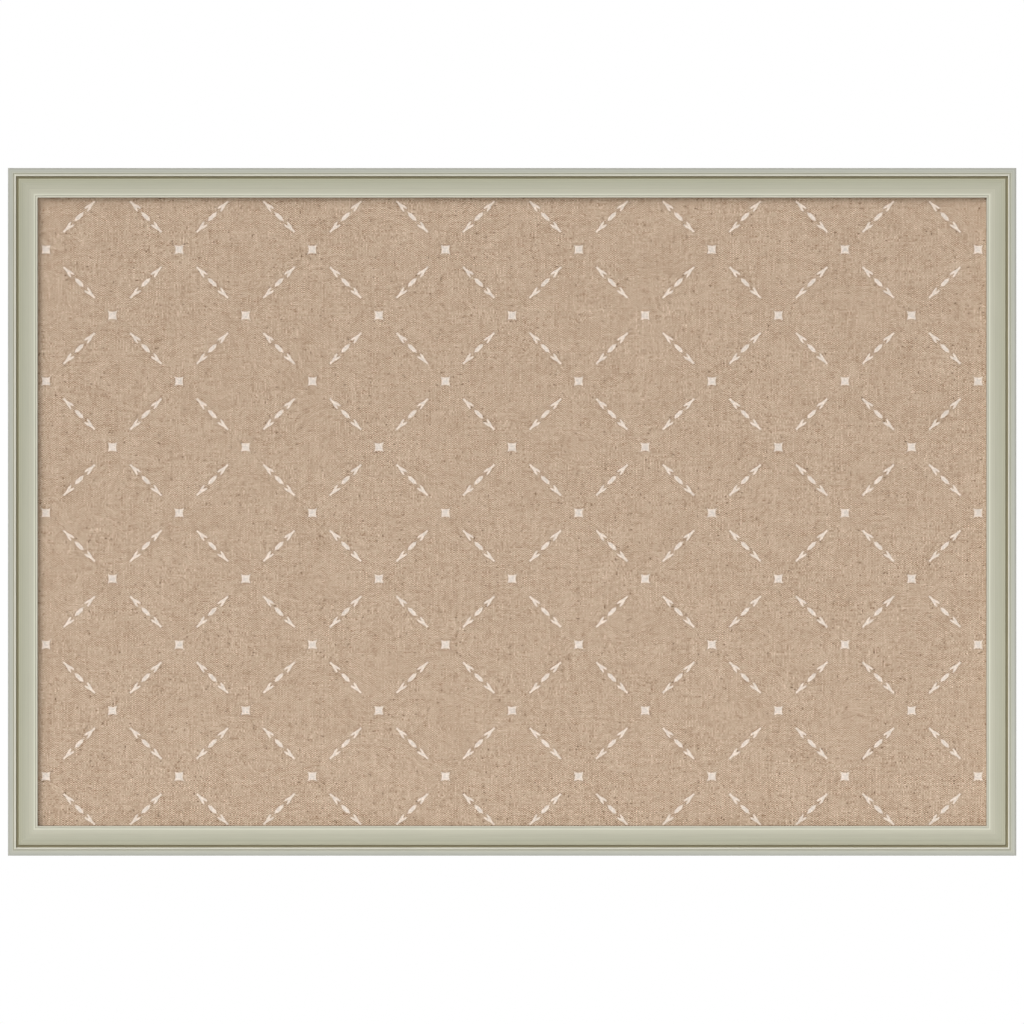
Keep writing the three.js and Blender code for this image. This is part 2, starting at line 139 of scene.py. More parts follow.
# Printed trellis on the cloth, in millimetres and shares of one
REPEAT_ACROSS = 126.60
REPEAT_UP = 125.20
TRELLIS_ASIDE = -0.09
TRELLIS_LIFT = 61.53
EDGE_LENGTH = 89.04
SQUARE_HALF = 3.42
SQUARE_HOLLOW = 0.047
SQUARE_NEAR = 5.0
HEXAGON_HALF_WIDTH = 1.75
HEXAGON_HALF_LENGTH = 5.8
HEXAGON_SLOPE = 0.6
HEXAGON_COSINE = 0.86
DART_TAIL = 9.1
DART_NOTCH = 12.55
DART_NOTCH_SLOPE = 0.41
DART_FORK = 17.0
DART_POINT = 20.85
DART_FLARE = 0.315
DART_ROUND = 0.16
DART_STEM = 0.82
DART_HALF_WIDTH = 2.38

# Linen threads, in millimetres, and how much each layer of the weave changes the yarn's tone
WARP_PITCH = 1.435
WEFT_PITCH = 0.977
WARP_UNEVEN = 1.9
WEFT_UNEVEN = 1.4
THREAD_WANDER = 2.0
# Painted shade of the weave: the cloth lighter where the warp lies on top and darker where the weft does
CROSSING_CONTRAST = 0.53
TONE_CONTRAST = 0.80
RUN_CONTRAST = 0.25
CLUMP_CONTRAST = 0.12
MOTTLE_CONTRAST = 0.10
DARK_DASH_CONTRAST = 0.50
LIGHT_DASH_CONTRAST = 0.32
MIDDLE_TONE = 0.505
WETTED_SHADE = 0.08
# How dark the line painted along the cloth's border is: painted shade where the frame meets the cloth
PAINTED_EDGE_SHADE = 0.13
WEAVE_RELIEF = 0.12 * MM

# Linen cover
LINEN_THICKNESS = 0.5 * MM
LINEN_FOLD = 1.8 * MM
LINEN_TURN_IN = 25 * MM
LINEN_CROWN = 0.25 * MM
LINEN_COLUMNS = 217
LINEN_ROWS = 145
HEM_STEPS = 5

# Wadding
WADDING_COLUMNS = 121
WADDING_ROWS = 81
WADDING_FULLNESS = 24
WADDING_RIPPLE = 0.06

# V-nails
NAIL_INSETS = {"outer": BACK_LAND / 3, "inner": 2 * BACK_LAND / 3}
NAIL_LEG = 5 * MM
NAIL_HALF_ANGLE = np.radians(55)
NAIL_THICKNESS = 0.6 * MM
NAIL_DEPTH = 10 * MM
NAIL_BEND = 0.5 * MM
NAIL_PROUD = 0.05 * MM

# Screws
SHANK_RADIUS = 1.6 * MM
HEAD_RADIUS = 3.4 * MM
HEAD_HEIGHT = 2.0 * MM
HEAD_RIM = 0.7 * MM
HEAD_EDGE = 0.15 * MM
SCREW_SIDES = 144
SCREW_REACH = 11 * MM
SCREW_POINT = 3 * MM
RECESS_SPAN = 3.8 * MM
RECESS_WIDTH = 0.9 * MM
RECESS_DEPTH = 1.1 * MM
RECESS_WALL = 0.18 * MM
RECESS_END = 0.5 * MM

# Turn buttons
BUTTON_HUB = 6 * MM
BUTTON_TIP = 4 * MM
BUTTON_REACH = 18 * MM
BUTTON_THICKNESS = 1.2 * MM
BUTTON_HOLE = 1.8 * MM
BUTTON_LIFT_START = 14 * MM
BUTTON_LIFT_BEND = 4 * MM
BUTTON_LIFT_SLOPE = np.tan(np.radians(25))
BUTTON_EDGE = 0.25 * MM
RUNNING_GAP = 0.15 * MM

# Hangers
HANGER_ASIDE = HALF_WIDTH - BACK_LAND / 2
HANGER_HEIGHT = HALF_HEIGHT - 165 * MM
HANGER_GAP = 0.1 * MM
HANGER_SEAT = RAIL_BACK + HANGER_GAP
STRAP_HALF_WIDTH = 5.5 * MM
STRAP_THICKNESS = 0.8 * MM
STRAP_SLIT = 0.1 * MM
STRAP_DROP = 25.5 * MM
STRAP_SCREW_DROP = 19.5 * MM
STRAP_EDGE = 0.2 * MM
STRAP_TIP = 0.01
STRAP_NECK = np.radians(15)
EYE_CENTRE = 2.3 * MM
EYE_RADIUS = 1.9 * MM
RING_WIRE = 1.25 * MM
RING_HALF_WIDTH = 8.25 * MM
RING_ARM = 5.25 * MM
RING_CORNER = 2.2 * MM
RING_BUTT = 0.4 * MM
RING_LEAN = np.radians(3)

# Wall bumpers
BUMPER_SIDES = 64
BUMPER_RADIUS = 6 * MM
BUMPER_FACE = 3.6 * MM
BUMPER_HEIGHT = 5 * MM
BUMPER_INSET = 45 * MM
BUMPER_GLUE = 0.1 * MM
BUMPER_EDGE = 0.3 * MM

# Camera and light
CAMERA_AWAY = 14.0
VIEW_WIDTH = 0.9728
SENSOR = 36.0
CAMERA_ASIDE = -0.1 * MM
CAMERA_HEIGHT = -0.18 * MM
FLOOR_LEVEL = -1.2
FLOOR_HALF = 2.0
FLOOR_GLOW = 0.3
AMBIENT = 0.125
LAMPS = {
    "key": ((-0.72, -1.0, 0.72), 46.0, 0.50),
    "fill": ((0.10, -1.0, -0.09), 12.0, 0.25),
    "back_key": ((0.5, 1.0, 0.6), 25.0, 0.5),
    "back_fill": ((-0.6, 1.0, 0.15), 35.0, 0.25),
}


# Meshes


def arc(centre, radius, start, end, steps=24):
    """Points on a circle from one angle to another, in degrees: centre + radius times (cosine, sine)."""
    angle = np.radians(np.linspace(start, end, steps + 1))
    return np.column_stack([centre[0] + radius * np.cos(angle), centre[1] + radius * np.sin(angle)])


def lengths_along(line):
    """How far each point lies along a line from its first: the running sum of the steps' lengths."""
    return np.concatenate([[0], np.cumsum(np.linalg.norm(np.diff(line, axis=0), axis=1))])


def headings(path):
    """The unit direction of a path at each point: the difference of its neighbours over its length."""
    ahead = np.gradient(path, axis=0)
    return ahead / np.linalg.norm(ahead, axis=1, keepdims=True)


def grid_quads(rows, columns, close_rows=False, close_columns=False):
    """The quads of a grid of points numbered row by row. A closed direction joins its last line to its
    first."""
    row = np.arange(rows if close_rows else rows - 1)
    column = np.arange(columns if close_columns else columns - 1)
    row, column = np.meshgrid(row, column, indexing="ij")
    here = row * columns
    below = (row + 1) % rows * columns
    right = (column + 1) % columns
    quads = [here + column, below + column, below + right, here + right]
    return np.stack(quads, axis=-1).reshape(-1, 4)


def rod_faces(rings, around):
    """The quads between rings of points round a rod, and a cap at both of its ends."""
    faces = list(grid_quads(rings, around, close_columns=True))
    faces.append(np.arange(around))
    faces.append(np.arange(around) + (rings - 1) * around)
    return faces


def new_piece(name, points, faces, maps=None, closed=True, sharp=35.0):
    """A mesh object at the origin: points merged where they meet, faces outward, smooth up to the sharp
    angle. maps holds named pairs of numbers for each point, kept as UV maps."""
    points = np.asarray(points, float).reshape(-1, 3)
    mesh = bpy.data.meshes.new(name)
    mesh.from_pydata(points.tolist(), [], [list(map(int, face)) for face in faces])
    corners = np.zeros(len(mesh.loops), np.int32)
    mesh.loops.foreach_get("vertex_index", corners)
    for map_name, pairs in (maps or {}).items():
        layer = mesh.uv_layers.new(name=map_name)
        layer.data.foreach_set("uv", np.asarray(pairs, np.float32).reshape(-1, 2)[corners].ravel())
    work = bmesh.new()
    work.from_mesh(mesh)
    bmesh.ops.remove_doubles(work, verts=work.verts, dist=MERGE_DISTANCE)
    bmesh.ops.dissolve_degenerate(work, edges=work.edges, dist=SLIVER_LENGTH)
    if closed:
        bmesh.ops.recalc_face_normals(work, faces=work.faces)
    work.to_mesh(mesh)
    work.free()
    mesh.shade_smooth()
    mesh.set_sharp_from_angle(angle=np.radians(sharp))
    piece = bpy.data.objects.new(name, mesh)
    bpy.context.scene.collection.objects.link(piece)
    return piece


def carried(path, aside, lift, section):
    """A closed section carried along a path: each ring is a path point + section x times aside + section
    y times lift. The section is one outline for the whole path, or one for each of its points."""
    section = np.broadcast_to(section, (len(path),) + np.shape(section)[-2:])
    points = path[:, None] + section[..., :1] * aside[:, None] + section[..., 1:] * lift[:, None]
    return points, rod_faces(*points.shape[:2])


def turned(profile, sides):
    """A profile of (radius, height) turned about the Y axis: (r cos, height, r sin) at each angle."""
    angle = np.linspace(0, 2 * np.pi, sides, endpoint=False)
    radius, height = profile[:, :1], profile[:, 1:]
    points = np.stack([radius * np.cos(angle), np.broadcast_to(height, (len(profile), sides)),
                       radius * np.sin(angle)], axis=-1)
    return points, grid_quads(len(profile), sides, close_columns=True)


def finish_piece(piece, slot, body, node):
    """Gives a piece its finish and the body that it rides on, and hides the node that it stands for."""
    piece.data.materials.append(LOOKS[slot])
    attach(piece, body)
    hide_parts(node)
    return piece


# Fields and looks


def plug(tree, value, socket):
    """Joins a field to a socket, or sets the socket to a plain value."""
    if isinstance(value, Field):
        tree.links.new(value.socket, socket)
    else:
        socket.default_value = value


class Field:
    """A value that changes over a surface: an output socket whose arithmetic adds Math nodes."""

    def __init__(self, tree, socket):
        self.tree = tree
        self.socket = socket

    def maths(self, operation, *others):
        """The result of one Math node on this value and the others."""
        node = self.tree.nodes.new("ShaderNodeMath")
        node.operation = operation
        for value, socket in zip((self, *others), node.inputs):
            plug(self.tree, value, socket)
        return Field(self.tree, node.outputs[0])

    def __add__(self, other):
        return self.maths("ADD", other)

    def __sub__(self, other):
        return self.maths("SUBTRACT", other)

    def __mul__(self, other):
        return self.maths("MULTIPLY", other)

    def __truediv__(self, other):
        return self.maths("DIVIDE", other)

    def __rsub__(self, other):
        return self.maths("MULTIPLY", -1.0).maths("ADD", other)

    __radd__ = __add__
    __rmul__ = __mul__

    def floor(self):
        return self.maths("FLOOR")

    def size(self):
        return self.maths("ABSOLUTE")

    def least(self, other):
        return self.maths("MINIMUM", other)

    def most(self, other):
        return self.maths("MAXIMUM", other)

    def step(self, low, high, to_low=0.0, to_high=1.0):
        """A smooth step from to_low, where this value is low, to to_high, where it is high."""
        node = self.tree.nodes.new("ShaderNodeMapRange")
        node.interpolation_type = "SMOOTHSTEP"
        for value, socket in zip((self, low, high, to_low, to_high), node.inputs):
            plug(self.tree, value, socket)
        return Field(self.tree, node.outputs[0])

    def parts(self):
        """The x, y and z of a vector."""
        node = self.tree.nodes.new("ShaderNodeSeparateXYZ")
        plug(self.tree, self, node.inputs[0])
        return [Field(self.tree, socket) for socket in node.outputs]


def vector(x, y, z=0.0):
    """A vector of fields and plain values, the first of which is a field."""
    node = x.tree.nodes.new("ShaderNodeCombineXYZ")
    for value, socket in zip((x, y, z), node.inputs):
        plug(x.tree, value, socket)
    return Field(x.tree, node.outputs[0])


def noise(place, scale, detail=2.0, roughness=0.5):
    """Smooth noise between 0 and 1, in cells of about 1 / scale."""
    node = place.tree.nodes.new("ShaderNodeTexNoise")
    plug(place.tree, place, node.inputs["Vector"])
    node.inputs["Scale"].default_value = scale
    node.inputs["Detail"].default_value = detail
    node.inputs["Roughness"].default_value = roughness
    return Field(place.tree, node.outputs[0])


def dice(place):
    """A number between 0 and 1 drawn afresh for each whole-number place."""
    node = place.tree.nodes.new("ShaderNodeTexWhiteNoise")
    node.noise_dimensions = "2D"
    plug(place.tree, place, node.inputs["Vector"])
    return Field(place.tree, node.outputs["Value"])


def flecks(place, scale, chance, radius):
    """Round specks, one in each cell of 1 / scale that is drawn with the given chance: 1 in the middle
    of the strongest, and never under 0.3 in the middle of one."""
    node = place.tree.nodes.new("ShaderNodeTexVoronoi")
    node.voronoi_dimensions = "2D"
    plug(place.tree, place, node.inputs["Vector"])
    node.inputs["Scale"].default_value = scale
    draw, strength, _ = Field(place.tree, node.outputs["Color"]).parts()
    away = Field(place.tree, node.outputs["Distance"])
    drawn = draw.step(1 - chance - 0.01, 1 - chance + 0.01)
    return away.step(radius, 0.3 * radius) * drawn * (strength * 0.7 + 0.3)


def colour(red, green, blue):
    """An sRGB colour of 0 to 255 as the linear one that a shader takes."""
    share = np.array([red, green, blue]) / 255
    linear = np.where(share <= 0.04045, share / 12.92, ((share + 0.055) / 1.055) ** 2.4)
    return (*linear.tolist(), 1.0)


def mixed(share, first, second):
    """Two colours mixed by a field, where 0 is the first."""
    node = share.tree.nodes.new("ShaderNodeMix")
    node.data_type = "RGBA"
    plug(share.tree, share, node.inputs[0])
    plug(share.tree, first, node.inputs[6])
    plug(share.tree, second, node.inputs[7])
    return Field(share.tree, node.outputs[2])


def shaded(tint, level):
    """A colour made lighter or darker by a field, where 1 leaves it as it is."""
    node = level.tree.nodes.new("ShaderNodeVectorMath")
    node.operation = "SCALE"
    plug(level.tree, tint, node.inputs[0])
    plug(level.tree, level, node.inputs["Scale"])
    return Field(level.tree, node.outputs[0])


def banded(value, stops):
    """A colour that changes with a value from 0 to 1, through stops of (value, colour)."""
    node = value.tree.nodes.new("ShaderNodeValToRGB")
    plug(value.tree, value, node.inputs[0])
    elements = node.color_ramp.elements
    for spare in range(len(stops) - len(elements)):
        elements.new(1.0)
    for element, (place, tint) in zip(elements, stops):
        element.position = place
        element.color = tint
    return Field(value.tree, node.outputs[0])


class Look:
    """A material with one Principled shader. Plain values are set on its own sockets, and fields are
    joined to them."""

    def __init__(self, name, plain):
        self.material = bpy.data.materials.new(name)
        self.material.use_nodes = True
        self.tree = self.material.node_tree
        self.shader = self.tree.nodes["Principled BSDF"]
        for socket, value in plain.items():
            self.shader.inputs[socket].default_value = value

    def place(self):
        """Object coordinates, in metres in the frame of the solids."""
        node = self.tree.nodes.new("ShaderNodeTexCoord")
        return Field(self.tree, node.outputs["Object"])

    def map(self, name):
        """One of the piece's own UV maps."""
        node = self.tree.nodes.new("ShaderNodeUVMap")
        node.uv_map = name
        return Field(self.tree, node.outputs[0])

    def group(self, tree, *values):
        """A shared effect placed in this material, with its inputs in order."""
        node = self.tree.nodes.new("ShaderNodeGroup")
        node.node_tree = tree
        for value, socket in zip(values, node.inputs):
            plug(self.tree, value, socket)
        return [Field(self.tree, socket) for socket in node.outputs]

    def paint(self, tint):
        """Joins a colour to the shader's base colour."""
        self.tree.links.new(tint.socket, self.shader.inputs["Base Color"])

    def rough(self, value):
        """Joins a value to the shader's roughness."""
        self.tree.links.new(value.socket, self.shader.inputs["Roughness"])

    def raised(self, height, depth, strength=1.0):
        """Relief from a height between 0 and 1 that stands for depth metres."""
        node = self.tree.nodes.new("ShaderNodeBump")
        node.inputs["Strength"].default_value = strength
        node.inputs["Distance"].default_value = depth
        plug(self.tree, height, node.inputs["Height"])
        self.tree.links.new(node.outputs[0], self.shader.inputs["Normal"])


def new_group(name, inputs, outputs):
    """An empty shader node group. inputs are (name, default) pairs, with a triple for a vector, and
    outputs are names."""
    tree = bpy.data.node_groups.new(name, "ShaderNodeTree")
    for socket_name, default in inputs:
        kind = "NodeSocketVector" if isinstance(default, tuple) else "NodeSocketFloat"
        tree.interface.new_socket(socket_name, in_out="INPUT", socket_type=kind).default_value = default
    for socket_name in outputs:
        tree.interface.new_socket(socket_name, in_out="OUTPUT", socket_type="NodeSocketFloat")
    source = tree.nodes.new("NodeGroupInput")
    sink = tree.nodes.new("NodeGroupOutput")
    fields = [Field(tree, source.outputs[socket_name]) for socket_name, _ in inputs]
    return tree, fields, sink


def put_out(sink, *fields):
    """Joins fields to a group's outputs, in order."""
    for field, socket in zip(fields, sink.inputs):
        plug(field.tree, field, socket)


def streaks_group():
    """Streaks along x: noise on (x / long, y / wide), with broad ones and fine ones together."""
    tree, (place, wide, long), sink = new_group(
        "lengthwise_streaks", [("Place", (0.0, 0.0, 0.0)), ("Wide", 0.001), ("Long", 0.1)], ["Streak"])
    along, across, _ = place.parts()
    fine = noise(vector(along / long, across / wide), 1.0, 3.0, 0.6)
    broad = noise(vector(along / long * 0.4, across / wide * 0.22, 5.0), 1.0, 2.0)
    put_out(sink, fine * 0.6 + broad * 0.4)
    return tree


def weave_group():
    """A plain weave. Each thread is half a sine wave across its pitch, and goes over and under the
    threads that cross it by a sine along its length. The height is the higher thread's, and over is how
    far the warp is above the weft."""
    tree, (place, warp_pitch, weft_pitch), sink = new_group(
        "plain_weave", [("Place", (0.0, 0.0, 0.0)), ("Warp pitch", 0.001), ("Weft pitch", 0.001)],
        ["Height", "Over", "Warp thread", "Weft thread"])
    across, up, _ = place.parts()
    warp_place = across / warp_pitch
    weft_place = up / weft_pitch
    warp_thread = warp_place.floor()
    weft_thread = weft_place.floor()
    half_turn = float(np.pi)
    warp_turn = (warp_place * half_turn).maths("SINE")
    weft_turn = (weft_place * half_turn).maths("SINE")
    warp_sign = (warp_thread * half_turn).maths("COSINE")
    weft_sign = (weft_thread * half_turn).maths("COSINE")
    warp_height = warp_turn.size() * (warp_sign * weft_turn * 0.5 + 0.5)
    weft_height = weft_turn.size() * (0.5 - weft_sign * warp_turn * 0.5)
    height = warp_height.most(weft_height)
    put_out(sink, height, warp_height - weft_height, warp_thread, weft_thread)
    return tree


def handling_group():
    """Marks of making and handling: broad smudges, and fine scratches that cross each other."""
    tree, (place, scale), sink = new_group(
        "handling_marks", [("Place", (0.0, 0.0, 0.0)), ("Scale", 1.0)], ["Smudge", "Scratch"])
    x, y, z = place.parts()
    size = vector(x * scale, y * scale, z * scale)
    across = vector((x + z) * scale * 0.15, y * scale, (z - x) * scale * 3.0)
    down = vector((x + y) * scale * 3.0, z * scale * 0.12, (x - y) * scale)
    smudge = noise(size, 0.25, 3.0)
    scratch = noise(across, 1.0, 2.0).step(0.62, 0.72).most(noise(down, 1.0, 2.0).step(0.64, 0.74))
    put_out(sink, smudge, scratch)
    return tree


def fibres_group():
    """Matted fibres: the higher of two noises, each stretched its own way, and broad clumps."""
    tree, (place, scale), sink = new_group(
        "matted_fibres", [("Place", (0.0, 0.0, 0.0)), ("Scale", 1.0)], ["Fibre", "Clump"])
    x, y, z = place.parts()
    one_way = noise(vector(x * scale, y * scale, z * scale * 0.2), 1.0, 2.0)
    other_way = noise(vector(x * scale * 0.22, y * scale, z * scale), 1.0, 2.0)
    clump = noise(vector(x * scale, y * scale, z * scale), 0.08, 3.0)
    put_out(sink, one_way.most(other_way), clump)
    return tree


STREAKS = streaks_group()
WEAVE = weave_group()
HANDLING = handling_group()
FIBRES = fibres_group()


# Finishes


def sage_paint():
    """Sage paint brushed along the rail, an olive glaze left in the groove, and bare wood on the back and
    in the rabbet. The bead and the sight bead are worn pale, the bead's pale line partly a painted
    highlight. The scoop is painted darker towards the groove, partly glaze and partly painted shade, and
    the sight edge's rim is painted dark as the shade where it meets the cloth. The left and top rails,
    numbered 1 and 2, are painted lighter, and the other two darker, in the quirk and from the groove down
    the scoop: painted light and shade that even out the shade which the lamp from the upper left leaves on
    the rails."""
    look = Look("sage_paint", {"Specular IOR Level": 0.35})
    run = look.map("run")
    across, height, _ = look.map("section").parts()
    length, _, _ = run.parts()
    outside = across.step(0.1 * MM, 0.5 * MM, 1.0, 0.0)
    stroke = vector(length, across - (BAND_TOP - EDGE_ROUND - height).most(0.0) * outside)
    (brush,) = look.group(STREAKS, stroke, *BRUSH_MARK)
    (line,) = look.group(STREAKS, stroke, *DRAWN_LINE)
    (grain,) = look.group(STREAKS, run, *WOOD_GRAIN)
    cloud = noise(run, 14.0, 3.0)

    tones = [(place * MM / FACE_WIDTH, colour(*tint)) for place, tint in PAINT_TONES]
    face = banded(across / FACE_WIDTH, tones)
    low = height.step(SIGHT_TOP - 1.0 * MM, SIGHT_TOP - 0.7 * MM, 1.0, 0.0)
    wall = across.step(FACE_WIDTH - 0.2 * MM, FACE_WIDTH - 0.05 * MM) * low
    face = mixed(outside.most(wall), face, colour(*SIDE_TONE))
    # Painted light and shade: the left and top rails lighter and the other two darker, in the quirk and
    # from the groove down the scoop, to even out the shade from the lamp at the upper left
    rail = (length / RAIL_APART + 0.5).floor()
    painted_light_per_rail = (rail - 1.5).size().step(0.9, 1.1, PAINTED_LIGHT_CONTRAST, -PAINTED_LIGHT_CONTRAST)
    scoop = across.step(7 * MM, 8 * MM) * across.step(27 * MM, 11 * MM)
    quirk = across.step(4.9 * MM, 5.3 * MM) * across.step(6.1 * MM, 5.7 * MM)
    painted_light_per_rail = painted_light_per_rail * (scoop + quirk * QUIRK_PAINTED_LIGHT)
    level = (brush - 0.5) * BRUSH_CONTRAST + (cloud - 0.5) * CLOUD_CONTRAST + (line - 0.5) + painted_light_per_rail + 1.0
    painted = shaded(face, level)

    wood = mixed(grain.step(0.35, 0.65), colour(208, 180, 138), colour(180, 146, 102))
    ragged = (noise(run, 900.0, 2.0) - 0.5) * PAINT_CREEP
    behind = (height + ragged).step(0.6 * MM, 2.2 * MM, 1.0, 0.0)
    under_lip = height.step(RABBET_DEPTH + 0.2 * MM, RABBET_DEPTH + 0.9 * MM, 1.0, 0.0)
    in_rabbet = across.step(BACK_LAND - 0.6 * MM, BACK_LAND - 0.2 * MM) * under_lip
    bare = behind.most(in_rabbet)
    look.paint(mixed(bare, painted, wood))
    look.rough(bare * 0.3 + (brush * 0.12 + 0.42))
    look.raised(brush * (1.0 - bare) + grain * bare, BRUSH_RELIEF)
    return look.material


def trellis(across, up):
    """The print, in millimetres on the flat cloth: a diamond lattice with a hollow-sided square on each
    crossing, a long hexagon in the middle of each edge and a forked dart on both sides of it that points
    to the crossings. It is the distance from the nearest mark, below 0 in it. rising and falling count
    the lattice lines of the two diagonals, and a dart's flank is a hyperbola from stem to fork."""
    rising = (across - TRELLIS_ASIDE) / REPEAT_ACROSS + (up - TRELLIS_LIFT) / REPEAT_UP
    falling = (across - TRELLIS_ASIDE) / REPEAT_ACROSS - (up - TRELLIS_LIFT) / REPEAT_UP
    off_rising = rising - rising.maths("ROUND")
    off_falling = falling - falling.maths("ROUND")

    aside = ((off_rising + off_falling) * (REPEAT_ACROSS / 2)).size()
    above = ((off_rising - off_falling) * (REPEAT_UP / 2)).size()
    near_aside = aside.least(SQUARE_NEAR)
    near_above = above.least(SQUARE_NEAR)
    past_side = aside - near_above * near_above * SQUARE_HOLLOW - SQUARE_HALF
    past_top = above - near_aside * near_aside * SQUARE_HOLLOW - SQUARE_HALF
    square = past_side.most(past_top)

    far = off_rising.size().most(off_falling.size())
    wide = off_rising.size().least(off_falling.size()) * EDGE_LENGTH
    along = (0.5 - far) * EDGE_LENGTH
    past_slope = (wide - (HEXAGON_HALF_LENGTH - along) * HEXAGON_SLOPE) * HEXAGON_COSINE
    hexagon = (wide - HEXAGON_HALF_WIDTH).most(past_slope)
    spread = (DART_FORK - along) * DART_FLARE
    flank = wide - (spread + (spread * spread + DART_ROUND).maths("SQRT")) * 0.5 - DART_STEM
    notch = (DART_NOTCH - along) * DART_NOTCH_SLOPE - wide
    dart = flank.most(wide - DART_HALF_WIDTH).most(notch)
    dart = dart.most(along - DART_POINT).most(DART_TAIL - along)
    return square.least(hexagon).least(dart)


def printed_linen():
    """Natural linen in a plain weave. Its threads lie unevenly, and each has its own tone, which changes
    along it. The cloth is painted lighter where the warp lies on top and darker where the weft does:
    painted shade of the weave, varied at random from crossing to crossing. Short dark and light stretches
    of weft, slubs, dark flecks and faint mottling break it up. A pale print sits on the crowns of the
    threads, thickest at its rims, and has wetted the cloth darker round each mark. A faint dark line is
    painted along the cloth's border, just inside the sight edge and under the frame: painted shade where
    the frame meets the cloth. A noise's third coordinate only sets it apart from the others."""
    look = Look("printed_linen", {
        "Roughness": 0.9, "Specular IOR Level": 0.12, "Sheen Weight": 0.06, "Sheen Roughness": 0.5})
    flat = look.map("flat")
    across, up, _ = flat.parts()
    across = across * (1 / MM)
    up = up * (1 / MM)
    cloth = vector(across, up)
    wander = (noise(cloth, 0.03, 2.0) - 0.5) * THREAD_WANDER
    lean = (noise(vector(up, across, 7.0), 0.03, 2.0) - 0.5) * THREAD_WANDER
    warp_gap = (noise(vector(across * 0.45, up * 0.02, 31.0), 1.0, 1.0) - 0.5) * WARP_UNEVEN
    weft_gap = (noise(vector(across * 0.02, up * 0.6, 37.0), 1.0, 1.0) - 0.5) * WEFT_UNEVEN
    threads = vector(across + wander + warp_gap, up + lean + weft_gap)
    height, over, warp_thread, weft_thread = look.group(WEAVE, threads, WARP_PITCH, WEFT_PITCH)

    warp_tone = noise(vector(warp_thread * 7.31, up * 0.25, 3.0), 1.0, 3.0, 0.6)
    weft_tone = noise(vector(across * 0.25, weft_thread * 5.73, 9.0), 1.0, 3.0, 0.6)
    tone = weft_tone + (warp_tone - weft_tone) * over.step(-0.1, 0.1)
    warp_run = noise(vector(warp_thread * 3.7, up * 0.04, 41.0), 1.0, 1.0)
    weft_run = noise(vector(across * 0.04, weft_thread * 3.7, 43.0), 1.0, 1.0)
    crossing = dice(vector(warp_thread, weft_thread))
    clump = noise(vector(across, up, 17.0), 0.32, 1.0)
    mottle = noise(cloth, 0.028, 3.0)
    dark_dash = flecks(vector(across * 0.35, up), 0.45, 0.5, 0.22)
    light_dash = flecks(vector(across * 0.35 + 400.0, up), 0.45, 0.5, 0.22)
    # Painted shade of the weave: lighter where the warp lies on top, darker where the weft does, varied at
    # random per crossing
    level = over * (crossing * 0.9 + 0.15) * CROSSING_CONTRAST + (tone - 0.5) * TONE_CONTRAST
    level = level + (warp_run + weft_run - 1.0) * RUN_CONTRAST
    level = level + (clump - 0.5) * CLUMP_CONTRAST + (mottle - 0.5) * MOTTLE_CONTRAST + MIDDLE_TONE
    level = level - dark_dash * DARK_DASH_CONTRAST + light_dash * LIGHT_DASH_CONTRAST

    weft_slub = flecks(vector(across * 0.5, up), 0.09, 0.25, 0.08)
    warp_slub = flecks(vector(across, up * 0.5), 0.09, 0.25, 0.08)
    slub = weft_slub.most(warp_slub)
    speck = flecks(vector(across * 0.65, up), 0.12, 0.35, 0.11)
    warmth = noise(vector(across, up, 51.0), 0.2, 1.0)
    crown = mixed(warmth, colour(238, 213, 191), colour(233, 215, 191))
    yarn = mixed(level, colour(126, 90, 55), crown)
    cloth_tint = mixed(slub.most(speck), yarn, colour(112, 88, 64))

    away = trellis(across, up) + (0.5 - height) * 0.4 + (crossing - 0.5) * 0.3
    cover = away.step(-0.35, 0.35, 1.0, 0.0) * (height * 0.2 + 0.78)
    rim = mixed(away.step(-1.3, -0.6), colour(230, 219, 209), colour(238, 224, 211))
    ink_tint = shaded(rim, (tone - 0.5) * 0.25 + (crossing - 0.5) * 0.25 + 1.0)
    wetted = away.step(0.1, 0.5) * away.step(0.9, 2.1, 1.0, 0.0)
    half_across = (HALF_WIDTH - FACE_WIDTH) / MM
    half_up = (HALF_HEIGHT - FACE_WIDTH) / MM
    # A faint dark line painted on the cloth just inside the sight edge and under the frame: painted shade
    # where the frame meets the cloth
    painted_edge_shade = (across.size() - half_across).most(up.size() - half_up).step(-1.1, -0.5)
    wetted_tint = shaded(cloth_tint, 1.0 - wetted * WETTED_SHADE)
    look.paint(shaded(mixed(cover, wetted_tint, ink_tint), 1.0 - painted_edge_shade * PAINTED_EDGE_SHADE))
    look.raised(height, WEAVE_RELIEF, 0.5)
    return look.material


def cotton_wadding():
    """Off-white felted wadding."""
    look = Look("cotton_wadding", {"Roughness": 1.0, "Specular IOR Level": 0.1, "Sheen Weight": 0.2})
    fibre, clump = look.group(FIBRES, look.place(), 900.0)
    look.paint(mixed(clump, colour(238, 235, 226), colour(222, 217, 204)))
    look.raised(fibre, 0.3 * MM)
    return look.material


def softboard():
    """Pale brown board of pressed wood fibre that takes pins."""
    look = Look("softboard", {"Roughness": 0.95, "Specular IOR Level": 0.1})
    fibre, clump = look.group(FIBRES, look.place(), 600.0)
    look.paint(mixed((fibre + clump) * 0.5, colour(150, 120, 84), colour(190, 160, 118)))
    look.raised(fibre, 0.4 * MM)
    return look.material


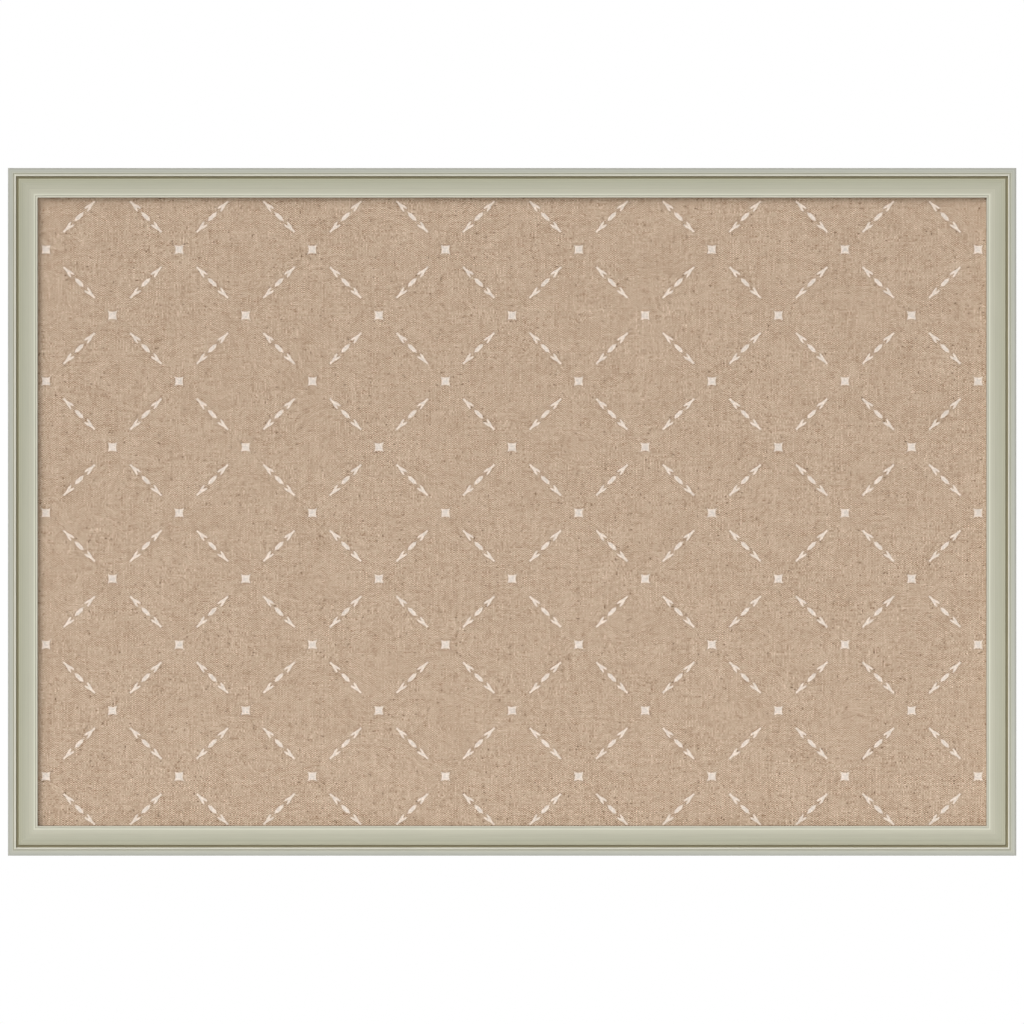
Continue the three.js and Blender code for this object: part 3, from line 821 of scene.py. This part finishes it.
def hardboard():
    """Brown hardboard with fibres, and the print of its pressing screen on the back."""
    look = Look("hardboard", {"Specular IOR Level": 0.25})
    place = look.place()
    x, _, z = place.parts()
    fibre, clump = look.group(FIBRES, place, 1500.0)
    screen, _, _, _ = look.group(WEAVE, vector(x, z), 1.5 * MM, 1.5 * MM)
    tint = mixed(fibre.step(0.45, 0.75), colour(128, 92, 60), colour(164, 124, 84))
    look.paint(shaded(tint, (clump - 0.5) * 0.35 + (screen - 0.45) * 0.18 + 1.0))
    look.rough(clump * 0.15 + 0.68)
    look.raised(screen * 0.7 + fibre * 0.3, 0.15 * MM)
    return look.material


def zinc_plate():
    """Bright zinc plate, faintly blue and yellow from its passivation, with smudges and fine scratches."""
    look = Look("zinc_plate", {"Metallic": 1.0})
    smudge, scratch = look.group(HANDLING, look.place(), 1100.0)
    tint = mixed(smudge.step(0.35, 0.65), colour(205, 209, 214), colour(214, 209, 194))
    look.paint(shaded(tint, 1.0 - scratch * 0.12))
    look.rough(smudge * 0.18 + scratch * 0.15 + 0.2)
    look.raised(scratch, -0.01 * MM)
    return look.material


def nail_steel():
    """Grey rolled steel, sheared at its edges."""
    look = Look("nail_steel", {"Metallic": 1.0})
    smudge, scratch = look.group(HANDLING, look.place(), 1600.0)
    look.paint(mixed(smudge, colour(140, 141, 142), colour(178, 177, 173)))
    look.rough(scratch * 0.2 + 0.38)
    look.raised(scratch, -0.01 * MM)
    return look.material


def black_steel():
    """Black lacquer on steel, scuffed to a dull grey."""
    look = Look("black_steel", {"Specular IOR Level": 0.5})
    smudge, scratch = look.group(HANDLING, look.place(), 900.0)
    look.paint(mixed(scratch * 0.6, colour(40, 39, 38), colour(96, 94, 91)))
    look.rough(smudge * 0.25 + 0.3)
    look.raised(smudge * 0.5 + scratch * 0.5, 0.02 * MM)
    return look.material


def rubber():
    """Soft dark rubber with a bloom of dust."""
    look = Look("rubber", {"Specular IOR Level": 0.3})
    fibre, clump = look.group(FIBRES, look.place(), 2500.0)
    look.paint(mixed(clump.step(0.4, 0.75), colour(52, 51, 49), colour(78, 76, 72)))
    look.rough(fibre * 0.15 + 0.7)
    look.raised(fibre, 0.02 * MM)
    return look.material


LOOKS = {
    "sage_paint": sage_paint(),
    "printed_linen": printed_linen(),
    "wadding": cotton_wadding(),
    "softboard": softboard(),
    "hardboard": hardboard(),
    "nail_steel": nail_steel(),
    "zinc_plate": zinc_plate(),
    "black_steel": black_steel(),
    "rubber": rubber(),
}


# Rails


def moulding_section():
    """The moulding's outline as (across from the outer edge, height above the back): straight lines and
    arcs in turn round the rabbet, sight bead, fillet, scoop, groove, bead and band. It is then spaced
    evenly and smoothed by a narrow bell curve, as paint rounds every arris."""
    bead_start = BAND_WIDTH + BAND_QUIRK
    groove_start = bead_start + BEAD_WIDTH
    scoop_start = groove_start + GROOVE_WIDTH
    fillet_end = FACE_WIDTH - SIGHT_BEAD - SIGHT_QUIRK
    scoop_end = fillet_end - FILLET_WIDTH
    steep = np.radians(SCOOP_STEEP)
    flat = np.radians(SCOOP_FLAT)
    scoop_radius = (scoop_end - scoop_start) / (np.sin(steep) - np.sin(flat))
    scoop_centre = (scoop_end + scoop_radius * np.sin(flat), SIGHT_TOP + scoop_radius * np.cos(flat))
    scoop_top = scoop_centre[1] - scoop_radius * np.cos(steep)
    bead = BEAD_WIDTH / 2
    groove = GROOVE_WIDTH / 2
    sight = SIGHT_BEAD / 2
    outline = np.vstack([
        [(BACK_CHAMFER, 0), (BACK_LAND, 0), (BACK_LAND, RABBET_DEPTH), (FACE_WIDTH, RABBET_DEPTH)],
        arc((FACE_WIDTH - sight, SIGHT_TOP - sight), sight, 0, BEAD_TURN),
        [(fillet_end + SIGHT_QUIRK / 2, SIGHT_TOP - QUIRK_DEPTH), (fillet_end, SIGHT_TOP)],
        arc(scoop_centre, scoop_radius, 270 - SCOOP_FLAT, 270 - SCOOP_STEEP),
        arc((groove_start + groove, scoop_top - GROOVE_DEPTH + groove), groove, 0, -180),
        arc((bead_start + bead, BAND_TOP - bead), bead, 0, BEAD_TURN),
        [(BAND_WIDTH + BAND_QUIRK / 2, BAND_TOP - QUIRK_DEPTH), (BAND_WIDTH, BAND_TOP)],
        arc((EDGE_ROUND, BAND_TOP - EDGE_ROUND), EDGE_ROUND, 90, 180),
        [(0, BACK_CHAMFER), (BACK_CHAMFER, 0)],
    ])
    travelled = lengths_along(outline)
    count = int(travelled[-1] / PAINT_STEP)
    spaced = np.linspace(0, travelled[-1], count, endpoint=False)
    even = np.column_stack([np.interp(spaced, travelled, outline[:, k]) for k in (0, 1)])
    steps = np.fft.fftfreq(count, travelled[-1] / count)
    bell = np.exp(-2 * (np.pi * steps * PAINT_SOFTENING) ** 2)
    return np.fft.ifft(np.fft.fft(even, axis=0) * bell[:, None], axis=0).real


SECTION = moulding_section()
SIDES = {
    "bottom": ((1, 0, 0), (0, 0, 1), HALF_WIDTH, HALF_HEIGHT),
    "left": ((0, 0, -1), (1, 0, 0), HALF_HEIGHT, HALF_WIDTH),
    "top": ((-1, 0, 0), (0, 0, -1), HALF_WIDTH, HALF_HEIGHT),
    "right": ((0, 0, 1), (-1, 0, 0), HALF_HEIGHT, HALF_WIDTH),
}


def painted_rail(side, turn):
    """One mitred length: the section carried along the rail, each of its points stopping at a distance
    from the corner equal to how far it lies across the face. The 'run' map is (along, across), with the
    rails set apart along it, and 'section' is (across, height)."""
    along, inward, half_length, reach = (np.array(value, float) for value in SIDES[side])
    across, height = SECTION.T
    ends = half_length - across - MITRE_GAP * np.sqrt(0.5)
    stations = np.linspace(-1, 1, RAIL_STATIONS)[:, None] * ends
    edge = RAIL_BACK * -FRONT - reach * inward
    points = edge + stations[..., None] * along + across[:, None] * inward + height[:, None] * FRONT
    wide = np.broadcast_to(across, stations.shape)
    maps = {
        "run": np.stack([stations + RAIL_APART * turn, wide], axis=-1),
        "section": np.stack([wide, np.broadcast_to(height, stations.shape)], axis=-1),
    }
    piece = new_piece(f"painted_rail_{side}", points, rod_faces(*stations.shape), maps)
    return finish_piece(piece, "sage_paint", "board", f"frame_rail_{side}")


def v_nail(corner, place):
    """A V-nail driven across a mitre. Its middle line is half a hyperbola, so its bend is round: out along
    the diagonal by sqrt(run squared + bend squared) - bend, and aside by the leg's share of its angle. A
    thin upright section with a rounded top is carried along it."""
    right = 1 if corner.endswith("right") else -1
    up = 1 if corner.startswith("top") else -1
    inset = NAIL_INSETS[place]
    diagonal = np.array([-right, 0, -up]) / np.sqrt(2)
    aside = np.array([up, 0, -right]) / np.sqrt(2)
    share = np.linspace(-1, 1, 33)[:, None]
    run = share * NAIL_LEG * np.cos(NAIL_HALF_ANGLE)
    start = np.array([right * (HALF_WIDTH - inset), RAIL_BACK + NAIL_PROUD, up * (HALF_HEIGHT - inset)])
    path = start + (np.hypot(run, NAIL_BEND) - NAIL_BEND) * diagonal
    path = path + share * NAIL_LEG * np.sin(NAIL_HALF_ANGLE) * aside
    lift = np.broadcast_to(-FRONT, path.shape)
    half = NAIL_THICKNESS / 2
    top = arc((half / 2, -half / 2), half / 2, 0, 90, 6)
    left = top[::-1] * (-1, 1)
    section = np.vstack([[(-half, -NAIL_DEPTH), (half, -NAIL_DEPTH)], top, left])
    points, faces = carried(path, np.cross(headings(path), lift), lift, section)
    piece = new_piece(f"driven_nail_{corner}_{place}", points, faces)
    return finish_piece(piece, "nail_steel", "board", f"v_nail_{corner}_{place}")


# Panel


def linen():
    """The cloth, drawn over the panel. Its front is a grid that swells by (1 - x^6)(1 - z^6) of its crown.
    From the front's edge it goes on round the fold, down the side, round the back edge and inwards as a
    mitred hem: rings of rectangles whose half sizes shrink by each step's inset. The 'flat' map is the
    cloth laid flat, in metres."""
    half = np.array([linen_high.x, linen_high.z])
    x = np.linspace(-1, 1, LINEN_COLUMNS)
    z = np.linspace(-1, 1, LINEN_ROWS)
    share_z, share_x = np.meshgrid(z, x, indexing="ij")
    edge = half - LINEN_FOLD
    crown = LINEN_CROWN * (1 - share_x**6) * (1 - share_z**6)
    front = np.stack([share_x * edge[0], linen_low.y - crown, share_z * edge[1]], axis=-1)
    front_flat = np.stack([share_x * edge[0], share_z * edge[1]], axis=-1)

    depth = linen_high.y - linen_low.y
    fold = arc((LINEN_FOLD, LINEN_FOLD), LINEN_FOLD, 270, 180, 8)
    back = arc((LINEN_FOLD, depth - LINEN_FOLD), LINEN_FOLD, 180, 90, 8)
    turned_in = np.linspace(LINEN_FOLD, LINEN_TURN_IN, HEM_STEPS + 1)[1:]
    hem = np.column_stack([turned_in, np.full(HEM_STEPS, depth)])
    steps = np.vstack([fold, back, hem])
    travelled = lengths_along(steps)

    upright = np.ones(LINEN_ROWS - 1)
    level_run = np.ones(LINEN_COLUMNS - 1)
    round_x = np.concatenate([x[:-1], upright, x[:0:-1], -upright])
    round_z = np.concatenate([-level_run, z[:-1], level_run, z[:0:-1]])
    sizes = half - steps[:, :1]
    level = np.broadcast_to(linen_low.y + steps[:, 1:], (len(steps), len(round_x)))
    rings = np.stack([sizes[:, :1] * round_x, level, sizes[:, 1:] * round_z], axis=-1)
    out_x = np.where(np.abs(round_x) == 1, np.sign(round_x), 0)
    out_z = np.where(np.abs(round_z) == 1, np.sign(round_z), 0)
    rings_flat = np.stack([edge[0] * round_x + travelled[:, None] * out_x,
                           edge[1] * round_z + travelled[:, None] * out_z], axis=-1)

    front_faces = grid_quads(LINEN_ROWS, LINEN_COLUMNS)
    ring_faces = grid_quads(len(steps), len(round_x), close_columns=True) + share_x.size
    faces = np.vstack([front_faces, ring_faces])[:, ::-1]
    points = np.vstack([front.reshape(-1, 3), rings.reshape(-1, 3)])
    flat = np.vstack([front_flat.reshape(-1, 2), rings_flat.reshape(-1, 2)])
    piece = new_piece("stretched_linen", points, faces, {"flat": flat}, closed=False, sharp=180.0)
    wall = piece.modifiers.new("cloth", "SOLIDIFY")
    wall.thickness = LINEN_THICKNESS
    wall.offset = -1.0
    finish_piece(piece, "printed_linen", "board", "linen_cover")
    return piece


def wadding():
    """A thin felted pad: half its thickness times (1 - x^24)^1/2 (1 - z^24)^1/2, in front and behind, so it
    is full nearly to its edges and closes there, with a slow ripple of sines."""
    half = np.array([wadding_high.x, wadding_high.z])
    middle = (wadding_low.y + wadding_high.y) / 2
    full = (wadding_high.y - wadding_low.y) / 2
    quarter_turn = np.pi / 2
    share_z, share_x = np.meshgrid(np.sin(np.linspace(-quarter_turn, quarter_turn, WADDING_ROWS)),
                                   np.sin(np.linspace(-quarter_turn, quarter_turn, WADDING_COLUMNS)),
                                   indexing="ij")
    swell = np.sqrt((1 - share_x**WADDING_FULLNESS) * (1 - share_z**WADDING_FULLNESS))
    wave_x = 1 + np.sin(31 * share_x + 5 * share_z)
    wave_z = 1 + np.sin(23 * share_z - 4 * share_x)
    ripple = 1 - WADDING_RIPPLE * wave_x * wave_z / 4
    faces = []
    layers = []
    for number, way in enumerate((-1, 1)):
        level = middle + way * full * swell * ripple
        layers.append(np.stack([share_x * half[0], level, share_z * half[1]], axis=-1))
        faces.append(grid_quads(*share_x.shape) + number * share_x.size)
    piece = new_piece("felted_wadding", np.stack(layers), np.vstack(faces), sharp=180.0)
    finish_piece(piece, "wadding", "board", "wadding_layer")
    return piece


# Fittings


def pan_screw(name, node, place, stack):
    """A pan-head wood screw along Y: a turned profile of point, shank, underside, rim and dome. The dome
    is lowered by a cross of two tapered slots, each the product of a step across its width and a slope
    along its length."""
    rim = arc((HEAD_RADIUS - HEAD_EDGE, HEAD_EDGE), HEAD_EDGE, -90, 0, 5)
    turn = np.linspace(0, 1, 57)[:, None]
    rise = HEAD_RIM + (HEAD_HEIGHT - HEAD_RIM) * (1 - (1 - turn) ** 2)
    dome = np.hstack([HEAD_RADIUS * (1 - turn**2), rise])
    length = stack + SCREW_REACH
    shank = np.array([(0, -length), (SHANK_RADIUS, SCREW_POINT - length), (SHANK_RADIUS, 0)])
    points, faces = turned(np.vstack([shank, rim, dome]), SCREW_SIDES)
    x, y, z = np.moveaxis(points, -1, 0)
    slots = []
    for wide, long in ((np.abs(x), np.abs(z)), (np.abs(z), np.abs(x))):
        across = np.clip((RECESS_WIDTH / 2 - wide) / RECESS_WALL + 0.5, 0, 1)
        slots.append(across * np.clip((RECESS_SPAN / 2 - long) / RECESS_END, 0, 1))
    sunk = np.where(y > HEAD_RIM, np.maximum(*slots) * RECESS_DEPTH, 0)
    points = np.stack([x, y - sunk, z], axis=-1) + place
    piece = new_piece(name, points, faces, sharp=50.0)
    return finish_piece(piece, "zinc_plate", "board", node)


def button_outline():
    """Angles from the arm and the distance to the edge there: the tip's circle ahead, the common tangent
    of both circles beside it, and the hub's circle behind."""
    lean = np.arccos((BUTTON_HUB - BUTTON_TIP) / BUTTON_REACH)
    tangent = np.arctan2(BUTTON_TIP * np.sin(lean), BUTTON_REACH + BUTTON_TIP * np.cos(lean))
    half = np.concatenate([np.linspace(0, tangent, 20), np.linspace(tangent, lean, 16)[1:],
                           np.linspace(lean, np.pi, 20)[1:]])
    angle = np.concatenate([half, -half[-2:0:-1]])
    off = np.abs(angle)
    sine = np.minimum(BUTTON_REACH * np.sin(off), BUTTON_TIP)
    tip = BUTTON_REACH * np.cos(off) + np.sqrt(BUTTON_TIP**2 - sine**2)
    side = BUTTON_HUB / np.cos(off - lean)
    edge = np.where(off <= tangent, tip, np.where(off <= lean, side, BUTTON_HUB))
    return angle, edge


def turn_button(name, inward):
    """A stamped turn button. Round each angle of its outline goes a closed section: out over the top, round
    the edge, back underneath and up the hole. The arm lifts beyond its bend by a parabola and then a
    straight slope."""
    angle, edge = button_outline()
    out = np.linspace(0, 1, 15)
    flat = np.zeros_like(out)
    rounded = arc((0, 0), BUTTON_EDGE, 90, 0, 5)[1:] - (BUTTON_EDGE, 0)
    under = rounded[::-1]
    height = np.concatenate([flat + BUTTON_THICKNESS, rounded[:, 1] + BUTTON_THICKNESS - BUTTON_EDGE,
                             BUTTON_EDGE - under[:, 1], flat])
    share = np.concatenate([out, np.ones(2 * len(rounded)), out[::-1]])
    inset = np.concatenate([flat - BUTTON_EDGE, rounded[:, 0], under[:, 0], flat - BUTTON_EDGE])
    radius = BUTTON_HOLE + share * (edge[:, None] - BUTTON_HOLE) + np.where(share > 0, share * inset, 0)
    forward = radius * np.cos(angle)[:, None]
    aside = radius * np.sin(angle)[:, None]
    past = np.maximum(forward - BUTTON_LIFT_START, 0)
    bend = np.minimum(past, BUTTON_LIFT_BEND)
    lift = BUTTON_LIFT_SLOPE * (bend**2 / (2 * BUTTON_LIFT_BEND) + past - bend)
    inward = np.array(inward, float)
    sideways = np.cross(inward, FRONT)
    low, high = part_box(f"turn_screw_{name}")
    pivot = np.array([(low.x + high.x) / 2, RAIL_BACK + RUNNING_GAP, (low.z + high.z) / 2])
    plan = forward[..., None] * inward + aside[..., None] * sideways
    points = pivot + plan - (height + lift)[..., None] * FRONT
    faces = grid_quads(*radius.shape, close_rows=True, close_columns=True)
    piece = new_piece(f"button_plate_{name}", points, faces)
    finish_piece(piece, "black_steel", f"turn_button_{name}_body", f"turn_button_{name}")
    stack = BUTTON_THICKNESS + 2 * RUNNING_GAP
    pan_screw(f"button_screw_{name}", f"turn_screw_{name}", pivot + (0, stack - RUNNING_GAP, 0), stack)


def folded_strap(name, aside):
    """A strip folded round the ring's bar. Its middle line runs up the rail, round the eye, through a neck
    that turns back with a second arc, and down over itself. The section is a flat rounded bar, narrowed
    to a half circle at both ends of the strip."""
    lower = STRAP_THICKNESS / 2
    upper = lower + STRAP_THICKNESS + STRAP_SLIT
    neck = (EYE_CENTRE + EYE_RADIUS * np.sin(STRAP_NECK) - upper) / (1 - np.sin(STRAP_NECK))
    neck_way = np.array([np.cos(STRAP_NECK), np.sin(STRAP_NECK)])
    neck_centre = np.array([0, EYE_CENTRE]) + (EYE_RADIUS + neck) * neck_way
    ease = np.sin(np.linspace(0, np.pi / 2, 25))
    straight = STRAP_DROP - STRAP_HALF_WIDTH
    tail = straight + STRAP_HALF_WIDTH * ease
    turn = np.degrees(STRAP_NECK)
    line = np.vstack([
        np.column_stack([tail[:0:-1], np.full(len(tail) - 1, lower)]),
        arc((0, EYE_CENTRE), EYE_RADIUS, -90, turn - 360, 48),
        arc(neck_centre, neck, 180 + turn, 270, 16)[1:],
        np.column_stack([tail, np.full(len(tail), upper)]),
    ])
    past = np.clip((line[:, 0] - straight) / STRAP_HALF_WIDTH, 0, 1)
    half_width = STRAP_HALF_WIDTH * np.sqrt(np.maximum(1 - past**2, STRAP_TIP**2))
    down, out = line.T
    path = np.column_stack([np.full(len(line), aside), HANGER_SEAT + out, HANGER_HEIGHT - down])
    lift = np.column_stack([np.zeros(len(line)), headings(line)])
    across = np.broadcast_to([1.0, 0.0, 0.0], path.shape)
    corner = arc((0, lower - STRAP_EDGE), STRAP_EDGE, 0, 90, 4)
    quarter = np.vstack([corner, corner[::-1] * (-1, 1), corner * (-1, -1), corner[::-1] * (1, -1)])
    way = np.repeat([1, -1, -1, 1], len(corner))
    reach = np.maximum(half_width - STRAP_EDGE, 0)
    squeeze = np.minimum(half_width / STRAP_EDGE, 1)
    wide = reach[:, None] * way + quarter[:, 0] * squeeze[:, None]
    section = np.stack([wide, np.broadcast_to(quarter[:, 1], wide.shape)], axis=-1)
    points, faces = carried(path, across, lift, section)
    piece = new_piece(f"folded_strap_{name}", points, faces, sharp=40.0)
    finish_piece(piece, "zinc_plate", "board", f"hanger_strap_{name}")
    stack = 2 * STRAP_THICKNESS + STRAP_SLIT
    seat = np.array([aside, HANGER_SEAT + stack + HANGER_GAP, HANGER_HEIGHT - STRAP_SCREW_DROP])
    pan_screw(f"strap_screw_{name}", f"hanger_screw_{name}", seat, stack)


def wire_ring(name, aside):
    """A D-ring of round wire: a circle carried along its bar, two small corners and a half-round bow,
    leaning on its bar towards the rail. The wire's ends meet in the middle of the bar, inside the strap's
    eye."""
    straight = RING_HALF_WIDTH - RING_CORNER
    line = np.vstack([
        [(-RING_BUTT / 2, 0)],
        arc((-straight, RING_CORNER), RING_CORNER, 270, 180, 12),
        arc((0, RING_ARM), RING_HALF_WIDTH, 180, 0, 64),
        arc((straight, RING_CORNER), RING_CORNER, 0, -90, 12),
        [(RING_BUTT / 2, 0)],
    ])
    up = np.array([0, np.sin(-RING_LEAN), np.cos(RING_LEAN)])
    out = np.array([0, np.cos(RING_LEAN), np.sin(RING_LEAN)])
    pivot = np.array([aside, HANGER_SEAT + EYE_CENTRE, HANGER_HEIGHT])
    path = pivot + line[:, :1] * np.array([1.0, 0, 0]) + line[:, 1:] * up
    lift = np.broadcast_to(out, path.shape)
    wire = arc((0, 0), RING_WIRE, 0, 345, 23)
    points, faces = carried(path, np.cross(headings(path), lift), lift, wire)
    piece = new_piece(f"wire_ring_{name}", points, faces)
    return finish_piece(piece, "zinc_plate", f"hanger_ring_{name}_body", f"hanger_ring_{name}")


def bumper(name, aside):
    """A rubber bumper stuck to the rail: a turned profile of a flat base, a short wall, and a quarter
    ellipse to a small flat face."""
    wall = BUMPER_HEIGHT / 2
    turn = np.linspace(0, np.pi / 2, 17)
    dome = np.column_stack([BUMPER_FACE + (BUMPER_RADIUS - BUMPER_FACE) * np.cos(turn),
                            wall + (BUMPER_HEIGHT - wall) * np.sin(turn)])
    base = [
        (0, BUMPER_GLUE),
        (BUMPER_RADIUS - BUMPER_EDGE, BUMPER_GLUE),
        (BUMPER_RADIUS, BUMPER_GLUE + BUMPER_EDGE),
    ]
    profile = np.vstack([base, dome, [(0, BUMPER_HEIGHT)]])
    points, faces = turned(profile, BUMPER_SIDES)
    points = points + (aside, RAIL_BACK, BACK_LAND / 2 - HALF_HEIGHT)
    piece = new_piece(f"rubber_bumper_{name}", points, faces, sharp=40.0)
    return finish_piece(piece, "rubber", "board", f"wall_bumper_{name}")


# Assembly

for turn, side in enumerate(SIDES):
    painted_rail(side, turn)

for corner in ("bottom_left", "top_left", "top_right", "bottom_right"):
    for place in NAIL_INSETS:
        v_nail(corner, place)

wadding()
linen()
for node, finish in (("pin_core", "softboard"), ("back_panel", "hardboard")):
    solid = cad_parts[node].data
    solid.materials.clear()
    solid.materials.append(LOOKS[finish])

for name, side in (("top_left", "top"), ("top_right", "top"), ("bottom_left", "bottom"),
                   ("bottom_right", "bottom"), ("left", "left"), ("right", "right")):
    turn_button(name, SIDES[side][1])

for name, way in (("left", -1), ("right", 1)):
    folded_strap(name, way * HANGER_ASIDE)
    wire_ring(name, way * HANGER_ASIDE)
    bumper(name, way * (HALF_WIDTH - BUMPER_INSET))


# Studio


def lamp(name, towards, spread, share):
    """A soft far lamp in a direction from the board, as wide as spread in degrees. Its strength makes a
    white face of the board, front or back, show share of full white: pi times the share over the cosine
    of its angle."""
    towards = Vector(towards).normalized()
    light = bpy.data.lights.new(name, "SUN")
    light.angle = np.radians(spread)
    light.energy = share * np.pi / abs(towards.y)
    lit = bpy.data.objects.new(name, light)
    lit.rotation_euler = towards.to_track_quat("Z", "Y").to_euler()
    bpy.context.scene.collection.objects.link(lit)


def studio():
    """A pale floor well below the board, wide soft light from the upper left and a little from straight in
    front, the same again behind, and a white surround for what the camera and reflections see. The camera
    sees the floor's underside as white too."""
    corners = np.array([(-1, -1, 0), (1, -1, 0), (1, 1, 0), (-1, 1, 0)]) * FLOOR_HALF + (0, 0, FLOOR_LEVEL)
    floor = new_piece("floor", corners, [range(4)], closed=False)
    look = Look("pale_floor", {
        "Base Color": colour(240, 240, 238), "Roughness": 0.9, "Emission Color": (1.0, 1.0, 1.0, 1.0)})
    path = look.tree.nodes.new("ShaderNodeLightPath")
    side = look.tree.nodes.new("ShaderNodeNewGeometry")
    under = Field(look.tree, side.outputs["Backfacing"])
    seen = Field(look.tree, path.outputs["Is Camera Ray"])
    glow = seen * (under * (1 - FLOOR_GLOW) + FLOOR_GLOW)
    plug(look.tree, glow, look.shader.inputs["Emission Strength"])
    floor.data.materials.append(look.material)

    for name, (towards, spread, share) in LAMPS.items():
        lamp(name, towards, spread, share)

    world = bpy.data.worlds.new("white_surround")
    bpy.context.scene.world = world
    world.use_nodes = True
    tree = world.node_tree
    path = tree.nodes.new("ShaderNodeLightPath")
    rays = [Field(tree, path.outputs[f"Is {kind} Ray"]) for kind in ("Camera", "Glossy", "Transmission")]
    seen = rays[0].most(rays[1]).most(rays[2])
    background = tree.nodes["Background"]
    background.inputs["Color"].default_value = (1.0, 1.0, 1.0, 1.0)
    plug(tree, seen * (1.0 - AMBIENT) + AMBIENT, background.inputs["Strength"])


def camera():
    """A long lens straight in front, as far as the picture needs to hold the board's width."""
    lens = bpy.data.cameras.new("camera")
    lens.sensor_width = SENSOR
    lens.lens = SENSOR * CAMERA_AWAY / VIEW_WIDTH
    lens.clip_end = 100.0
    eye = bpy.data.objects.new("camera", lens)
    eye.location = (CAMERA_ASIDE, RAIL_FRONT - CAMERA_AWAY, CAMERA_HEIGHT)
    eye.rotation_euler = (np.radians(90), 0, 0)
    bpy.context.scene.collection.objects.link(eye)
    bpy.context.scene.camera = eye


studio()
camera()
bpy.context.scene.view_settings.view_transform = "Standard"
